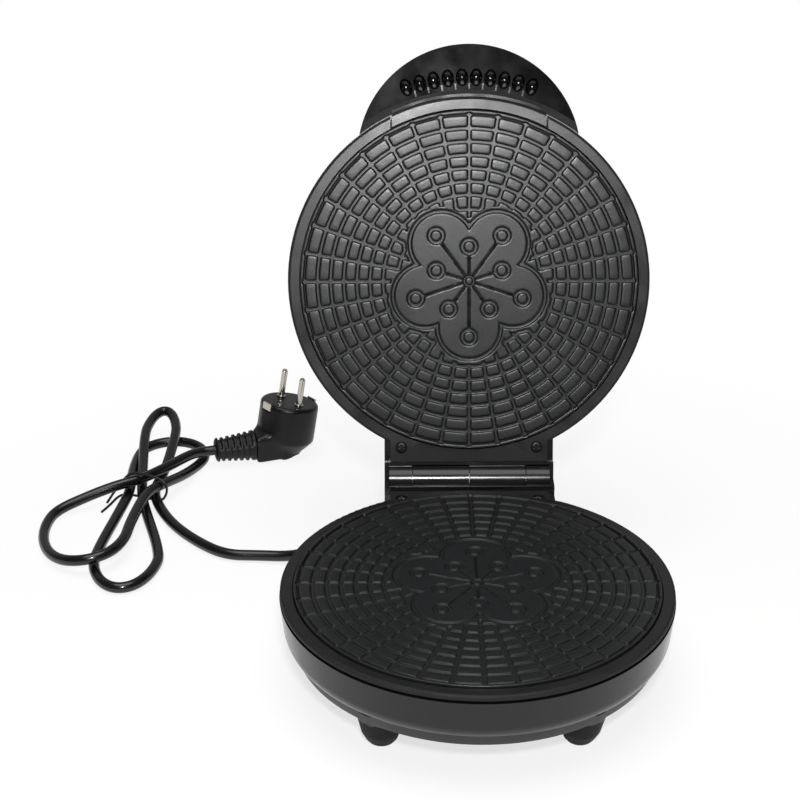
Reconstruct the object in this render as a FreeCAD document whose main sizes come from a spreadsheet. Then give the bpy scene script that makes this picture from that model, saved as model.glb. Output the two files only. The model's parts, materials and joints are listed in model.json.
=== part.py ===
import FreeCAD
import Part
import Sketcher
import math
import os

# A waffle cone maker that stands open: a base and a lid with patterned plates, joined by a hinge.
# Lengths are in millimetres. +Z is up, the handle side looks towards -Y, and the origin lies on the table
# below the middle of the lower plate. Each half is drawn face up with its closing plane at z = 0, its hinge
# on the -Y side and its front at +Y. The base is then turned half round, and the lid is tipped up.

Vector = FreeCAD.Vector
doc = FreeCAD.newDocument("waffle_cone_maker")
sheet = doc.addObject("Spreadsheet::Sheet", "sizes")

SIZES = {
    # stance
    "closing_height": 58.0,
    "open_angle": 108.8,
    "face_gap": 1.5,
    # trim rings
    "ring_width": 6.4,
    "ring_round": 1.5,
    "ring_flange": 2.8,
    "ring_neck": 2.8,
    "ring_depth": 8.0,
    "ledge_width": 12.6,
    "ledge_thick": 2.5,
    "panel_half": 46.0,
    "panel_thick": 3.0,
    "panel_overlap": 13.6,
    "panel_screw_x": 39.6,
    "panel_screw_inset": 7.5,
    "front_gap_half": 45.4,
    # plates
    "plate_radius": 97.8,
    "plate_gap": 0.8,
    "plate_proud": 0.8,
    "plate_web": 4.8,
    "plate_seat": 11.5,
    "groove_width": 2.3,
    "groove_floor": 1.5,
    "groove_depth": 1.0,
    "rim_band": 2.4,
    "rim_groove": 1.3,
    "rim_lip": 0.4,
    "groove_pitch": 7.6,
    "spoke_start": 48.0,
    "petal_radius": 18.5,
    "petal_reach": 27.0,
    "stamen_ring": 5.2,
    "stamen_eye": 2.8,
    "stamen_long": 32.5,
    "stamen_short": 20.0,
    "stem_width": 1.6,
    "hub_ring": 3.6,
    "hub_eye": 1.9,
    # shells
    "rim_step": 0.3,
    "shadow_gap": 1.5,
    "wall_thick": 2.3,
    "wall_taper": 1.5,
    "wall_knee": 20.0,
    "wall_tuck": 5.1,
    "wall_round": 12.0,
    "shell_depth": 28.5,
    "shelf_reach": 4.5,
    "shelf_thick": 2.7,
    "boss_radius": 5.2,
    "boss_inset": 11.8,
    # hinge
    "hinge_offset": 0.7,
    "hinge_half": 49.5,
    "knuckle_radius": 7.5,
    "knuckle_room": 0.6,
    "knuckle_end": 47.0,
    "knuckle_step": 33.0,
    "knuckle_gap": 0.25,
    "pin_radius": 2.5,
    "pin_fit": 0.05,
    "pin_inner": 14.0,
    "pin_outer": 46.0,
    "lip_wall": 1.6,
    "stop_gap": 0.3,
    "block_wall": 1.5,
    "block_overlap": 17.3,
    "block_depth": 25.0,
    "sleeve_radius": 3.2,
    "sleeve_bore": 2.2,
    "sleeve_room": 0.8,
    # covers and feet
    "cover_tuck": 0.6,
    "cover_thick": 2.0,
    "bottom_drop": 7.4,
    "bottom_draft": 2.2,
    "lid_drop": 9.5,
    "foot_x": 52.0,
    "foot_y": 69.7,
    "foot_top": 12.9,
    "foot_bottom": 6.8,
    "foot_waist": 10.2,
    "foot_waist_height": 9.0,
    "foot_lean_x": 1.0,
    "foot_lean_y": 8.2,
    "foot_edge": 1.0,
    "vent_length": 22.0,
    "vent_width": 2.4,
    "vent_start": 26.0,
    # handle
    "handle_radius": 64.5,
    "handle_inset": 33.5,
    "handle_fit": 0.2,
    "handle_face": 3.5,
    "handle_parting": 19.0,
    "handle_back": 32.0,
    "handle_slope": 7.5,
    "handle_flat": 2.2,
    "strip_gap": 0.5,
    "strip_width": 8.4,
    "strip_side": 1.0,
    "strip_face": 5.2,
    "strip_groove": 1.6,
    "strip_groove_depth": 2.0,
    "scoop_inset": 9.4,
    "scoop_half_length": 5.2,
    "scoop_half_width": 3.6,
    "scoop_depth": 3.4,
    "scoop_pitch": 4.0,
    "rib_start": 2.7,
    "rib_width": 0.9,
    "rib_length": 3.4,
    # heating
    "element_circle": 62.0,
    "element_tube": 3.2,
    "element_gap_angle": 30.0,
    "element_pin": 1.6,
    "element_pin_length": 12.0,
    "clamp_length": 20.0,
    "clamp_width": 9.0,
    "clamp_wall": 1.4,
    "shield_radius": 80.0,
    "shield_thick": 0.8,
    "shield_drop": 9.8,
    "shield_lip": 4.0,
    "post_circle": 38.0,
    "post_radius": 3.5,
    # cord and plug
    "cord_radius": 3.3,
    "cord_lift": 0.2,
    "gland_angle": 51.3,
    "gland_tilt": 25.0,
    "gland_drop": 22.0,
    "gland_hole": 6.0,
    "gland_inset": 2.7,
    "relief_length": 24.0,
    "tie_wire": 0.8,
    "plug_x": -118.1,
    "plug_y": 263.4,
    "plug_turn": 220.0,
    "plug_lean": 12.0,
    "plug_radius": 19.3,
    "plug_height": 34.0,
    "plug_side": 9.0,
    "plug_chamfer": 7.5,
    "neck_height": 19.4,
    "clip_reach": 4.5,
    "lead_height": 7.9,
    "boot_x": 20.9,
    "boot_y": -4.0,
    "boot_swing": 23.8,
    "boot_height": 10.6,
    "boot_length": 25.8,
    "boot_radius": 10.0,
    "boot_taper": 0.4,
    "pin_spacing": 19.0,
    "plug_pin_radius": 2.0,
    "plug_pin_length": 19.0,
    "pin_collar": 1.0,
}
PETALS = 5
GROOVES = 8
SPOKES = 36
SCOOPS = 10
BOOT_RIBS = 6
HOLE_FIT = 0.1


class Size:
    """A length or an angle that knows its value and the spreadsheet formula behind it."""

    def __init__(self, value, formula):
        self.value = value
        self.formula = formula

    def join(self, other, mark, value):
        return Size(value, "({} {} {})".format(self.formula, mark, size(other).formula))

    def __add__(self, other):
        return self.join(other, "+", self.value + size(other).value)

    def __sub__(self, other):
        return self.join(other, "-", self.value - size(other).value)

    def __mul__(self, other):
        return self.join(other, "*", self.value * size(other).value)

    def __truediv__(self, other):
        return self.join(other, "/", self.value / size(other).value)

    def __neg__(self):
        return Size(-self.value, "(0 - {})".format(self.formula))

    def __radd__(self, other):
        return size(other) + self

    def __rsub__(self, other):
        return size(other) - self

    def __rmul__(self, other):
        return size(other) * self


def size(value):
    """Return value as a Size."""
    return value if isinstance(value, Size) else Size(float(value), "{:.6f}".format(value))


def sine(angle):
    """Sine of an angle in degrees."""
    angle = size(angle)
    return Size(math.sin(math.radians(angle.value)), "sin({} * 1 deg)".format(angle.formula))


def cosine(angle):
    """Cosine of an angle in degrees."""
    angle = size(angle)
    return Size(math.cos(math.radians(angle.value)), "cos({} * 1 deg)".format(angle.formula))


def root(square):
    """Square root of a Size."""
    return Size(math.sqrt(square.value), "sqrt({})".format(square.formula))


class Table:
    """The named sizes, one attribute each."""


S = Table()
for row, (alias, number) in enumerate(SIZES.items(), 1):
    sheet.set("A{}".format(row), alias)
    sheet.set("B{}".format(row), repr(number))
    sheet.setAlias("B{}".format(row), alias)
    setattr(S, alias, Size(number, "sizes." + alias))
doc.recompute()

# Heights and radii shared by both halves, measured from the closing plane and the plate's axis.
FACE = -S.face_gap
SEAT = FACE - S.ring_depth
LEDGE = SEAT + S.ledge_thick
BORE = S.plate_radius + S.plate_gap
RING = BORE + S.ring_width
RIM = RING + S.rim_step
RIM_TOP = FACE - S.ring_flange - S.shadow_gap
RIM_INNER = RIM - S.wall_thick
SHELF = SEAT - S.shelf_thick
SHELF_EDGE = RIM_INNER - S.shelf_reach
KNEE = -S.wall_knee
FOOT = -S.shell_depth
PANEL_SEAT = FACE - S.panel_thick
PANEL_SINK = PANEL_SEAT - RIM_TOP
PANEL_ROOT = BORE - S.panel_overlap
PANEL_SCREW = RING - S.panel_screw_inset
PLATE_TOP = FACE + S.plate_proud
PLATE_BACK = PLATE_TOP - S.plate_web
GROOVE_FIRST = S.plate_radius - S.rim_band
HINGE_REACH = RIM + S.hinge_offset + S.lip_wall + S.knuckle_room + S.knuckle_radius
HINGE = -HINGE_REACH
LIP = HINGE + S.knuckle_radius + S.knuckle_room + S.lip_wall
BLOCK_BACK = S.knuckle_radius + S.block_wall
BLOCK_FRONT = RIM - S.block_overlap
BOSS_CIRCLE = RIM - S.boss_inset
GLAND_CIRCLE = RIM - S.gland_inset
HANDLE_MIDDLE = RING - S.handle_inset
STRIP_START = BORE + S.strip_gap
STRIP_END = STRIP_START + S.strip_width
SCOOP_MIDDLE = STRIP_END + S.scoop_inset
ELEMENT_Z = PLATE_BACK - S.element_tube - HOLE_FIT
SHIELD_Z = PLATE_BACK - S.shield_drop
BOTTOM = FOOT - S.bottom_drop
COVER_INNER = BOTTOM + S.cover_thick
LID_TOP = FOOT - S.lid_drop
LID_INNER = LID_TOP + S.cover_thick
HANDLE_DRILL = RIM - 10.3
BOSS_ANGLES = (90, 210, 330)
PLATE_SCREW_ANGLES = (45, 135, 225, 315)
CLAMP_ANGLES = (30, 150, 270 - 45)
POST_ANGLES = (90, 210, 330)
TERMINAL = (-10, -36)


def bind(obj, prop, value):
    """Bind a property to a Size."""
    obj.setExpression(prop, size(value).formula)


def move(obj, x=0, y=0, z=0, axis=None, angle=0):
    """Turn obj about an axis and move it to bound coordinates."""
    if axis:
        obj.Placement = FreeCAD.Placement(Vector(), FreeCAD.Rotation(Vector(*axis), angle))
    for name, value in (("x", x), ("y", y), ("z", z)):
        bind(obj, "Placement.Base." + name, value)
    return obj


def primitive(kind, name, x=0, y=0, z=0, axis=None, angle=0, **sizes):
    """Add a Part primitive with bound sizes."""
    obj = doc.addObject("Part::" + kind, name)
    for prop, value in sizes.items():
        bind(obj, prop, value)
    return move(obj, x, y, z, axis, angle)


def rod(name, radius, height, x=0, y=0, z=0, axis=None, angle=0):
    """Add a cylinder that rises from a point."""
    return primitive("Cylinder", name, x, y, z, axis, angle, Radius=radius, Height=height)


def block(name, length, width, height, x=0, y=0, z=0, turn=0):
    """Add a box centred on x and y, turned about its own upright, with its underside at z."""
    half_x, half_y = size(length) / 2, size(width) / 2
    corner_x = size(x) - half_x * cosine(turn) + half_y * sine(turn)
    corner_y = size(y) - half_x * sine(turn) - half_y * cosine(turn)
    return primitive("Box", name, corner_x, corner_y, z, (0, 0, 1), turn, Length=length, Width=width,
                     Height=height)


def fuse(name, objects):
    """Join objects."""
    if len(objects) == 1:
        return objects[0]
    obj = doc.addObject("Part::MultiFuse", name)
    obj.Shapes = objects
    return obj


def cut(name, base, tools):
    """Take the tools away from base."""
    obj = doc.addObject("Part::Cut", name)
    obj.Base = base
    obj.Tool = fuse(name + "_tools", tools)
    return obj


def group(name, objects):
    """Hold separate solids together as one node."""
    obj = doc.addObject("Part::Compound", name)
    obj.Links = objects
    return obj


class Bend:
    """An arc to the next vertex of a loop. turn is 1 for anticlockwise and -1 for clockwise."""

    def __init__(self, radius, turn):
        self.radius = size(radius)
        self.turn = turn


class Circle:
    """A full circle in a sketch."""

    def __init__(self, x, y, radius):
        self.x = size(x)
        self.y = size(y)
        self.radius = size(radius)


def pin_point(sketch, item, point, x, y):
    """Hold a sketch point at bound coordinates."""
    for kind, line, value in (("DistanceX", -2, x), ("DistanceY", -1, y)):
        if abs(value.value) < 1e-9:
            sketch.addConstraint(Sketcher.Constraint("PointOnObject", item, point, line))
            continue
        ends = (-1, 1, item, point)
        if value.value < 0:
            ends = (item, point, -1, 1)
            value = -value
        index = sketch.addConstraint(Sketcher.Constraint(kind, *ends, value.value))
        bind(sketch, "Constraints[{}]".format(index), value)


def arc_between(start, end, bend):
    """The arc of a Bend from start to end."""
    chord = end - start
    middle = (start + end) * 0.5
    radius = bend.radius.value
    height = math.sqrt(max(radius ** 2 - (chord.Length / 2) ** 2, 0.0))
    side = Vector(-chord.y, chord.x, 0).normalize() * bend.turn
    centre = middle + side * height
    first, last = (start, end) if bend.turn > 0 else (end, start)
    angles = [math.atan2(p.y - centre.y, p.x - centre.x) for p in (first, last)]
    if angles[1] < angles[0]:
        angles[1] += 2 * math.pi
    return Part.ArcOfCircle(Part.Circle(centre, Vector(0, 0, 1), radius), *angles)


def draw_loop(sketch, loop):
    """Draw a closed loop of bound vertices, with a Bend between two vertices where an arc runs."""
    corners = []
    bends = []
    for item in loop:
        if isinstance(item, Bend):
            bends[-1] = item
        else:
            corners.append((size(item[0]), size(item[1])))
            bends.append(None)
    points = [Vector(x.value, y.value, 0) for x, y in corners]
    first = sketch.GeometryCount
    ends = []
    for index, bend in enumerate(bends):
        start, end = points[index], points[(index + 1) % len(points)]
        curve = arc_between(start, end, bend) if bend else Part.LineSegment(start, end)
        sketch.addGeometry(curve)
        ends.append((2, 1) if bend and bend.turn < 0 else (1, 2))
    for index in range(len(points)):
        after = (index + 1) % len(points)
        joint = (first + index, ends[index][1], first + after, ends[after][0])
        sketch.addConstraint(Sketcher.Constraint("Coincident", *joint))
    for index, (x, y) in enumerate(corners):
        pin_point(sketch, first + index, ends[index][0], x, y)
    for index, bend in enumerate(bends):
        if bend:
            number = sketch.addConstraint(Sketcher.Constraint("Radius", first + index, bend.radius.value))
            bind(sketch, "Constraints[{}]".format(number), bend.radius)


def sketch_on(body, plane, shapes, lift=None):
    """Attach a sketch of loops and circles to one of the body's origin planes, lifted along its normal."""
    sketch = body.newObject("Sketcher::SketchObject", body.Name + "_sketch")
    support = [item for item in body.Origin.OriginFeatures if item.Role == plane][0]
    sketch.AttachmentSupport = [(support, "")]
    sketch.MapMode = "FlatFace"
    if lift is not None:
        bind(sketch, "AttachmentOffset.Base.z", lift)
    for shape in shapes:
        if isinstance(shape, Circle):
            number = sketch.addGeometry(
                Part.Circle(Vector(shape.x.value, shape.y.value, 0), Vector(0, 0, 1), shape.radius.value))
            pin_point(sketch, number, 3, shape.x, shape.y)
            index = sketch.addConstraint(Sketcher.Constraint("Radius", number, shape.radius.value))
            bind(sketch, "Constraints[{}]".format(index), shape.radius)
        else:
            draw_loop(sketch, shape)
    return sketch


def new_body(name):
    """Add an empty body."""
    return doc.addObject("PartDesign::Body", name)


def turned(body, shapes, kind="Revolution"):
    """Revolve a profile of (radius, height) loops about the upright axis, as material or as a groove."""
    sketch = sketch_on(body, "XZ_Plane", shapes)
    feature = body.newObject("PartDesign::" + kind, body.Name + "_turned")
    feature.Profile = sketch
    feature.ReferenceAxis = (sketch, ["V_Axis"])
    feature.Angle = 360
    return feature


def prism(body, plane, shapes, length, lift=None, kind="Pad", both_ways=False, flip=False):
    """Extrude loops from a plane, as material or as a pocket."""
    feature = body.newObject("PartDesign::" + kind, body.Name + "_prism")
    feature.Profile = sketch_on(body, plane, shapes, lift)
    bind(feature, "Length", length)
    feature.SideType = "Symmetric" if both_ways else "One side"
    feature.Reversed = flip
    return feature


def ring_of(body, feature, count, angle=360):
    """Repeat a feature round the upright axis."""
    doc.recompute()
    pattern = body.newObject("PartDesign::PolarPattern", body.Name + "_ring")
    pattern.Originals = [feature]
    axis = [item for item in body.Origin.OriginFeatures if item.Role == "Z_Axis"][0]
    pattern.Axis = (axis, [""])
    pattern.Angle = angle
    pattern.Occurrences = count
    body.Tip = pattern
    return pattern


def rectangle(x0, x1, y0, y1):
    """A rectangular loop."""
    return [(x0, y0), (x1, y0), (x1, y1), (x0, y1)]


def straight_ended(inner, outer, half):
    """A loop between two radii round the +Y direction, with ends that run along Y."""
    low, high = root(inner * inner - half * half), root(outer * outer - half * half)
    return [(-half, low), (-half, high), Bend(outer, -1), (half, high), (half, low), Bend(inner, 1)]


def around(circle, angle):
    """Coordinates at a fixed angle on a circle."""
    return circle * cosine(angle), circle * sine(angle)


NODES = []


def keep(obj, label, placed=None):
    """Name a finished node and put it into place."""
    obj.Label = label
    NODES.append(obj)
    if placed:
        placed(obj)
    return obj


def in_base(obj):
    """Turn a half to stand on the table with its front towards -Y."""
    move(obj, z=S.closing_height, axis=(0, 0, 1), angle=180)


def in_lid(obj):
    """Tip a half up about the hinge."""
    tip = 180 - S.open_angle
    move(obj, y=HINGE_REACH + HINGE_REACH * cosine(tip), z=S.closing_height + HINGE_REACH * sine(tip),
         axis=(1, 0, 0), angle=tip.value)
    bind(obj, "Placement.Rotation.Angle", tip)


def screw_set(name, spots, head, shank, length, seat, thick=1.8):
    """Upright screws with heads on the plane z = seat, shanks up from it or down for a negative length."""
    screws = []
    rise = length.value > 0
    for number, (x, y) in enumerate(spots):
        tag = "{}_{}".format(name, number)
        low = seat if rise else seat + length
        span = length if rise else -length
        body = rod(tag + "_shank", shank, span, x, y, low)
        cap = rod(tag + "_head", head, thick, x, y, seat - thick if rise else seat)
        screws.append(fuse(tag, [body, cap]))
    return group(name, screws)


# Shells and rings

def hinge_features(body, sink):
    """The hinge block of a half with its own knuckles, pockets for the other half's, and the pin bores."""
    lean = 90 - S.open_angle / 2
    back = HINGE - BLOCK_BACK
    seat = PANEL_SEAT - sink
    outline = [(-BLOCK_FRONT, seat), (LIP, seat), (LIP, -S.stop_gap), (HINGE, -S.stop_gap),
               (back, -S.stop_gap - BLOCK_BACK * cosine(lean) / sine(lean)), (back, -S.block_depth),
               (-BLOCK_FRONT, -S.block_depth)]
    prism(body, "YZ_Plane", [outline], S.hinge_half * 2, both_ways=True)
    own = ((-S.knuckle_end, -S.knuckle_step), (size(0), S.knuckle_step))
    other = ((-S.knuckle_step, size(0)), (S.knuckle_step, S.knuckle_end))
    for start, end in other:
        room = Circle(HINGE, 0, S.knuckle_radius + S.knuckle_room)
        prism(body, "YZ_Plane", [room], end - start, lift=start, kind="Pocket", flip=True)
    for start, end in own:
        knuckle = Circle(HINGE, 0, S.knuckle_radius)
        prism(body, "YZ_Plane", [knuckle], end - start - S.knuckle_gap * 2, lift=start + S.knuckle_gap)
    bore = Circle(HINGE, 0, S.pin_radius + S.pin_fit)
    prism(body, "YZ_Plane", [bore], S.pin_outer * 2 + S.knuckle_gap * 2, kind="Pocket", both_ways=True)
    passage = Circle(HINGE, 0, S.sleeve_radius + S.sleeve_room)
    prism(body, "YZ_Plane", [passage], S.pin_inner * 2 - 2, kind="Pocket", both_ways=True)


def shell_body(name, sink):
    """The bowl of a half: wall, ring shelf, hinge block and bosses for the cover screws."""
    body = new_body(name)
    inner_wall = RIM - S.wall_taper - S.wall_thick
    inner_foot = RIM - S.wall_tuck - S.wall_thick
    inside = [(inner_foot, FOOT), (inner_wall, KNEE), (inner_wall, SHELF), (SHELF_EDGE, SHELF),
              (SHELF_EDGE, SEAT), (RIM_INNER, SEAT)]
    outside = [(RIM_INNER, RIM_TOP), (RIM, RIM_TOP), (RIM - S.wall_taper, KNEE), Bend(S.wall_round, -1),
               (RIM - S.wall_tuck, FOOT)]
    turned(body, [outside + inside])
    hinge_features(body, sink)
    hollow = [(0, FOOT)] + inside + [(RIM_INNER, PANEL_SEAT + 1), (0, PANEL_SEAT + 1)]
    turned(body, [hollow], "Groove")
    cavity = rectangle(-S.pin_inner - 20, S.pin_inner + 20, HINGE + S.knuckle_radius - 2, -SHELF_EDGE + 2)
    prism(body, "XY_Plane", [cavity], S.block_depth - S.knuckle_radius - 4, lift=-S.block_depth - 1,
          kind="Pocket", flip=True)
    bosses = [Circle(*around(BOSS_CIRCLE, angle), S.boss_radius) for angle in BOSS_ANGLES]
    prism(body, "XY_Plane", bosses, S.shell_depth + SHELF + 1, lift=FOOT)
    holes = [Circle(*around(BOSS_CIRCLE, angle), 1.5 + HOLE_FIT) for angle in BOSS_ANGLES]
    prism(body, "XY_Plane", holes, 12, lift=FOOT, kind="Pocket", flip=True)
    return body


def ring_body(name, front_open, sink):
    """A trim ring with its hinge panel, and in the lid a gap at the front for the handle's strip."""
    body = new_body(name)
    face_edge = RING - S.ring_round
    neck = RING - S.ring_neck
    ledge = BORE - S.ledge_width
    profile = [(BORE, FACE), (face_edge, FACE), Bend(S.ring_round, -1), (RING, FACE - S.ring_round),
               (RING, FACE - S.ring_flange), (neck, FACE - S.ring_flange), (neck, SEAT), (ledge, SEAT),
               (ledge, LEDGE), (BORE, LEDGE)]
    turned(body, [profile])
    panel = rectangle(-S.panel_half, S.panel_half, LIP + 0.2, -PANEL_ROOT)
    prism(body, "XY_Plane", [panel], S.panel_thick, lift=PANEL_SEAT - sink)
    turned(body, [[(0, LEDGE), (BORE, LEDGE), (BORE, FACE + 1), (0, FACE + 1)]], "Groove")
    spots = [(side * S.panel_screw_x, -PANEL_SCREW) for side in (-1, 1)]
    wells = [Circle(x, y, 3.6) for x, y in spots]
    prism(body, "XY_Plane", wells, 1.6 + sink, lift=FACE, kind="Pocket")
    holes = [Circle(x, y, 1.5 + HOLE_FIT) for x, y in spots]
    prism(body, "XY_Plane", holes, 30, lift=FACE, kind="Pocket")
    through = [Circle(*around(S.plate_radius - 6, angle), 1.5 + HOLE_FIT) for angle in PLATE_SCREW_ANGLES]
    prism(body, "XY_Plane", through, 10, lift=LEDGE + 1, kind="Pocket")
    if front_open:
        gap = rectangle(-S.front_gap_half, S.front_gap_half, BORE / 2, RING + 6)
        prism(body, "XY_Plane", [gap], S.ring_flange, lift=FACE, kind="Pocket")
    return body


# Plates

def plate_body(name):
    """A patterned plate: ring grooves, radial grooves and a blossom in the middle."""
    body = new_body(name)
    inner = S.plate_radius - S.plate_seat
    lip, lip_top = GROOVE_FIRST + S.rim_groove / 2, PLATE_TOP + S.rim_lip
    outline = [(0, PLATE_TOP), (lip, PLATE_TOP), (lip, lip_top), (S.plate_radius - 0.4, lip_top),
               (S.plate_radius, lip_top - 0.4), (S.plate_radius, LEDGE), (inner, LEDGE),
               (inner, PLATE_BACK), (0, PLATE_BACK)]
    turned(body, [outline])
    floor = PLATE_TOP - S.groove_depth
    half_top, half_floor = S.groove_width / 2, S.groove_floor / 2
    section = [(-half_top, PLATE_TOP), (half_top, PLATE_TOP), (half_floor, floor), (-half_floor, floor)]
    spoke = prism(body, "XZ_Plane", [section], GROOVE_FIRST - S.spoke_start, lift=-GROOVE_FIRST,
                  kind="Pocket", flip=True)
    ring_of(body, spoke, SPOKES)
    rings = []
    for step in range(GROOVES - 1):
        middle = GROOVE_FIRST - S.groove_pitch * step
        top = half_top if step else S.rim_groove / 2
        low = top - half_top + half_floor
        rings.append([(middle - top, PLATE_TOP), (middle + top, PLATE_TOP), (middle + low, floor),
                      (middle - low, floor)])
    turned(body, rings, "Groove")
    wall = S.groove_width / 2
    prism(body, "XY_Plane", [blossom(S.petal_radius + wall), blossom(S.petal_radius - wall)],
          S.groove_depth, lift=PLATE_TOP, kind="Pocket")
    for reach, half_turn in ((S.stamen_long, 0), (S.stamen_short, 180 / PETALS)):
        across, along = -sine(half_turn), -cosine(half_turn)
        dot = [Circle(reach * across, reach * along, radius) for radius in (S.stamen_ring, S.stamen_eye)]
        ring_of(body, prism(body, "XY_Plane", dot, S.groove_depth, lift=PLATE_TOP, kind="Pocket"), PETALS)
        start, end, half = S.hub_ring - 0.4, reach - S.stamen_ring + 0.4, S.stem_width / 2
        stem = [(distance * across - side * half * along, distance * along + side * half * across)
                for distance, side in ((start, -1), (end, -1), (end, 1), (start, 1))]
        ring_of(body, prism(body, "XY_Plane", [stem], S.groove_depth, lift=PLATE_TOP, kind="Pocket"),
                PETALS)
    hub = [Circle(0, 0, S.hub_ring), Circle(0, 0, S.hub_eye)]
    prism(body, "XY_Plane", hub, S.groove_depth, lift=PLATE_TOP, kind="Pocket")
    holes = [Circle(*around(S.plate_radius - 6, angle), 1.5 + HOLE_FIT) for angle in PLATE_SCREW_ANGLES]
    prism(body, "XY_Plane", holes, 3.4, lift=LEDGE, kind="Pocket", flip=True)
    return body


def blossom(radius):
    """The outline of a blossom of overlapping round petals, one of them towards the hinge."""
    half = 180 / PETALS
    notch = S.petal_reach * cosine(half) + root(radius * radius - (S.petal_reach * sine(half))
                                                * (S.petal_reach * sine(half)))
    loop = []
    for petal in range(PETALS):
        angle = -90 + half + petal * 2 * half
        loop += [around(notch, angle), Bend(radius, 1)]
    return loop


# Heating parts

def element_ring(name, tube):
    """A tube bent into an open ring under the plate, its gap towards the hinge."""
    sweep = 360 - S.element_gap_angle
    start = -90 + S.element_gap_angle / 2
    ring = primitive("Torus", name, z=ELEMENT_Z, axis=(0, 0, 1), angle=start.value,
                     Radius1=S.element_circle, Radius2=tube, Angle3=sweep)
    bind(ring, "Placement.Rotation.Angle", start)
    return ring


def heating_parts(prefix, placed):
    """Element, clamps, heat shield with its posts and screws, and the thermostat of one half."""
    half_gap = S.element_gap_angle / 2
    end_x, end_y = S.element_circle * sine(half_gap), -S.element_circle * cosine(half_gap)
    ring = element_ring(prefix + "_element_ring", S.element_tube)
    pins = []
    for side in (-1, 1):
        tag = "{}_element_pin_{}".format(prefix, "left" if side < 0 else "right")
        pins.append(rod(tag, S.element_pin, S.element_pin_length + 2, side * (end_x + 2), end_y, ELEMENT_Z,
                        (0, 1, 0), -90 * side))
    keep(fuse(prefix + "_element", [ring] + pins), prefix + "_heating_element", placed)

    room = element_ring(prefix + "_clamp_room", S.element_tube + HOLE_FIT / 2)
    depth = S.element_tube * 2 + S.clamp_wall + HOLE_FIT * 2
    saddles = []
    for number, angle in enumerate(CLAMP_ANGLES):
        x, y = around(S.element_circle, angle)
        saddles.append(block("{}_clamp_{}".format(prefix, number), S.clamp_length, S.clamp_width, depth, x,
                             y, PLATE_BACK - depth, angle))
    keep(cut(prefix + "_clamps", fuse(prefix + "_saddles", saddles), [room]), prefix + "_element_clamps",
         placed)

    dish = new_body(prefix + "_shield")
    outer, under = S.shield_radius, SHIELD_Z - S.shield_thick
    turned(dish, [[(0, under), (outer, under), (outer, SHIELD_Z + S.shield_lip),
                   (outer - S.shield_thick, SHIELD_Z + S.shield_lip), (outer - S.shield_thick, SHIELD_Z),
                   (0, SHIELD_Z)]])
    notch = rectangle(-26, 26, -S.shield_radius - 5, -S.element_circle + 10)
    prism(dish, "XY_Plane", [notch], S.shield_lip * 2 + 4, lift=under - 1, kind="Pocket", flip=True)
    spots = [around(S.post_circle, angle) for angle in POST_ANGLES]
    prism(dish, "XY_Plane", [Circle(x, y, 1.5 + HOLE_FIT) for x, y in spots], 4, lift=under - 1,
          kind="Pocket", flip=True)
    keep(dish, prefix + "_heat_shield", placed)

    posts = new_body(prefix + "_posts")
    prism(posts, "XY_Plane", [Circle(x, y, S.post_radius) for x, y in spots], S.shield_drop, lift=SHIELD_Z)
    prism(posts, "XY_Plane", [Circle(x, y, 1.5 + HOLE_FIT) for x, y in spots], 7, lift=SHIELD_Z,
          kind="Pocket", flip=True)
    keep(posts, prefix + "_shield_posts", placed)
    keep(screw_set(prefix + "_shield_screw", spots, 3.0, 1.5, size(6.5), under), prefix + "_shield_screws",
         placed)

    x, y = 24, 20
    flange = block(prefix + "_switch_flange", 28, 9, 0.8, x, y, PLATE_BACK - 0.8)
    can = rod(prefix + "_switch_can", 8, 5.8, x, y, PLATE_BACK - 5.8)
    base = rod(prefix + "_switch_base", 6.8, 3, x, y, PLATE_BACK - 8)
    blades = [block("{}_switch_blade_{}".format(prefix, side), 6.3, 0.8, 5, x, y + side * 3.5,
                    PLATE_BACK - 9.4)
              for side in (-1, 1)]
    keep(fuse(prefix + "_switch", [flange, can, base] + blades), prefix + "_thermostat", placed)


def fastened_half(prefix, sink, plate, placed):
    """Ring, plate, heating parts and their screws of one half. Returns its drilled bowl."""
    shell = shell_body(prefix + "_bowl", sink)
    keep(ring_body(prefix + "_ring_body", prefix == "lid", sink), prefix + "_ring", placed)
    panel_spots = [(side * S.panel_screw_x, -PANEL_SCREW) for side in (-1, 1)]
    keep(screw_set(prefix + "_ring_screw", panel_spots, 3.2, 1.5, size(-12), FACE - 1.6 - sink, 1.3),
         prefix + "_ring_screws", placed)
    name = "lower" if prefix == "base" else "upper"
    keep(group(name + "_plate_set", [plate]), name + "_plate", placed)
    spots = [around(S.plate_radius - 6, angle) for angle in PLATE_SCREW_ANGLES]
    keep(screw_set(name + "_plate_screw", spots, 3.0, 1.5, S.ledge_thick + 3, SEAT), name + "_plate_screws",
         placed)
    heating_parts(name, placed)
    holes = [rod("{}_panel_hole_{}".format(prefix, number), 1.5 + HOLE_FIT, 14 + sink, x, y,
                 FACE - 15 - sink)
             for number, (x, y) in enumerate(panel_spots)]
    return cut(prefix + "_shell_drilled", shell, holes)


# Base

def gland_axis():
    """Middle of the gland on the wall and its outward direction, in the half's own frame."""
    turn, tilt = math.radians(S.gland_angle.value), math.radians(S.gland_tilt.value)
    outward = Vector(math.cos(turn) * math.cos(tilt), -math.sin(turn) * math.cos(tilt), -math.sin(tilt))
    radius = GLAND_CIRCLE.value
    return Vector(math.cos(turn) * radius, -math.sin(turn) * radius, -S.gland_drop.value), outward


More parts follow.
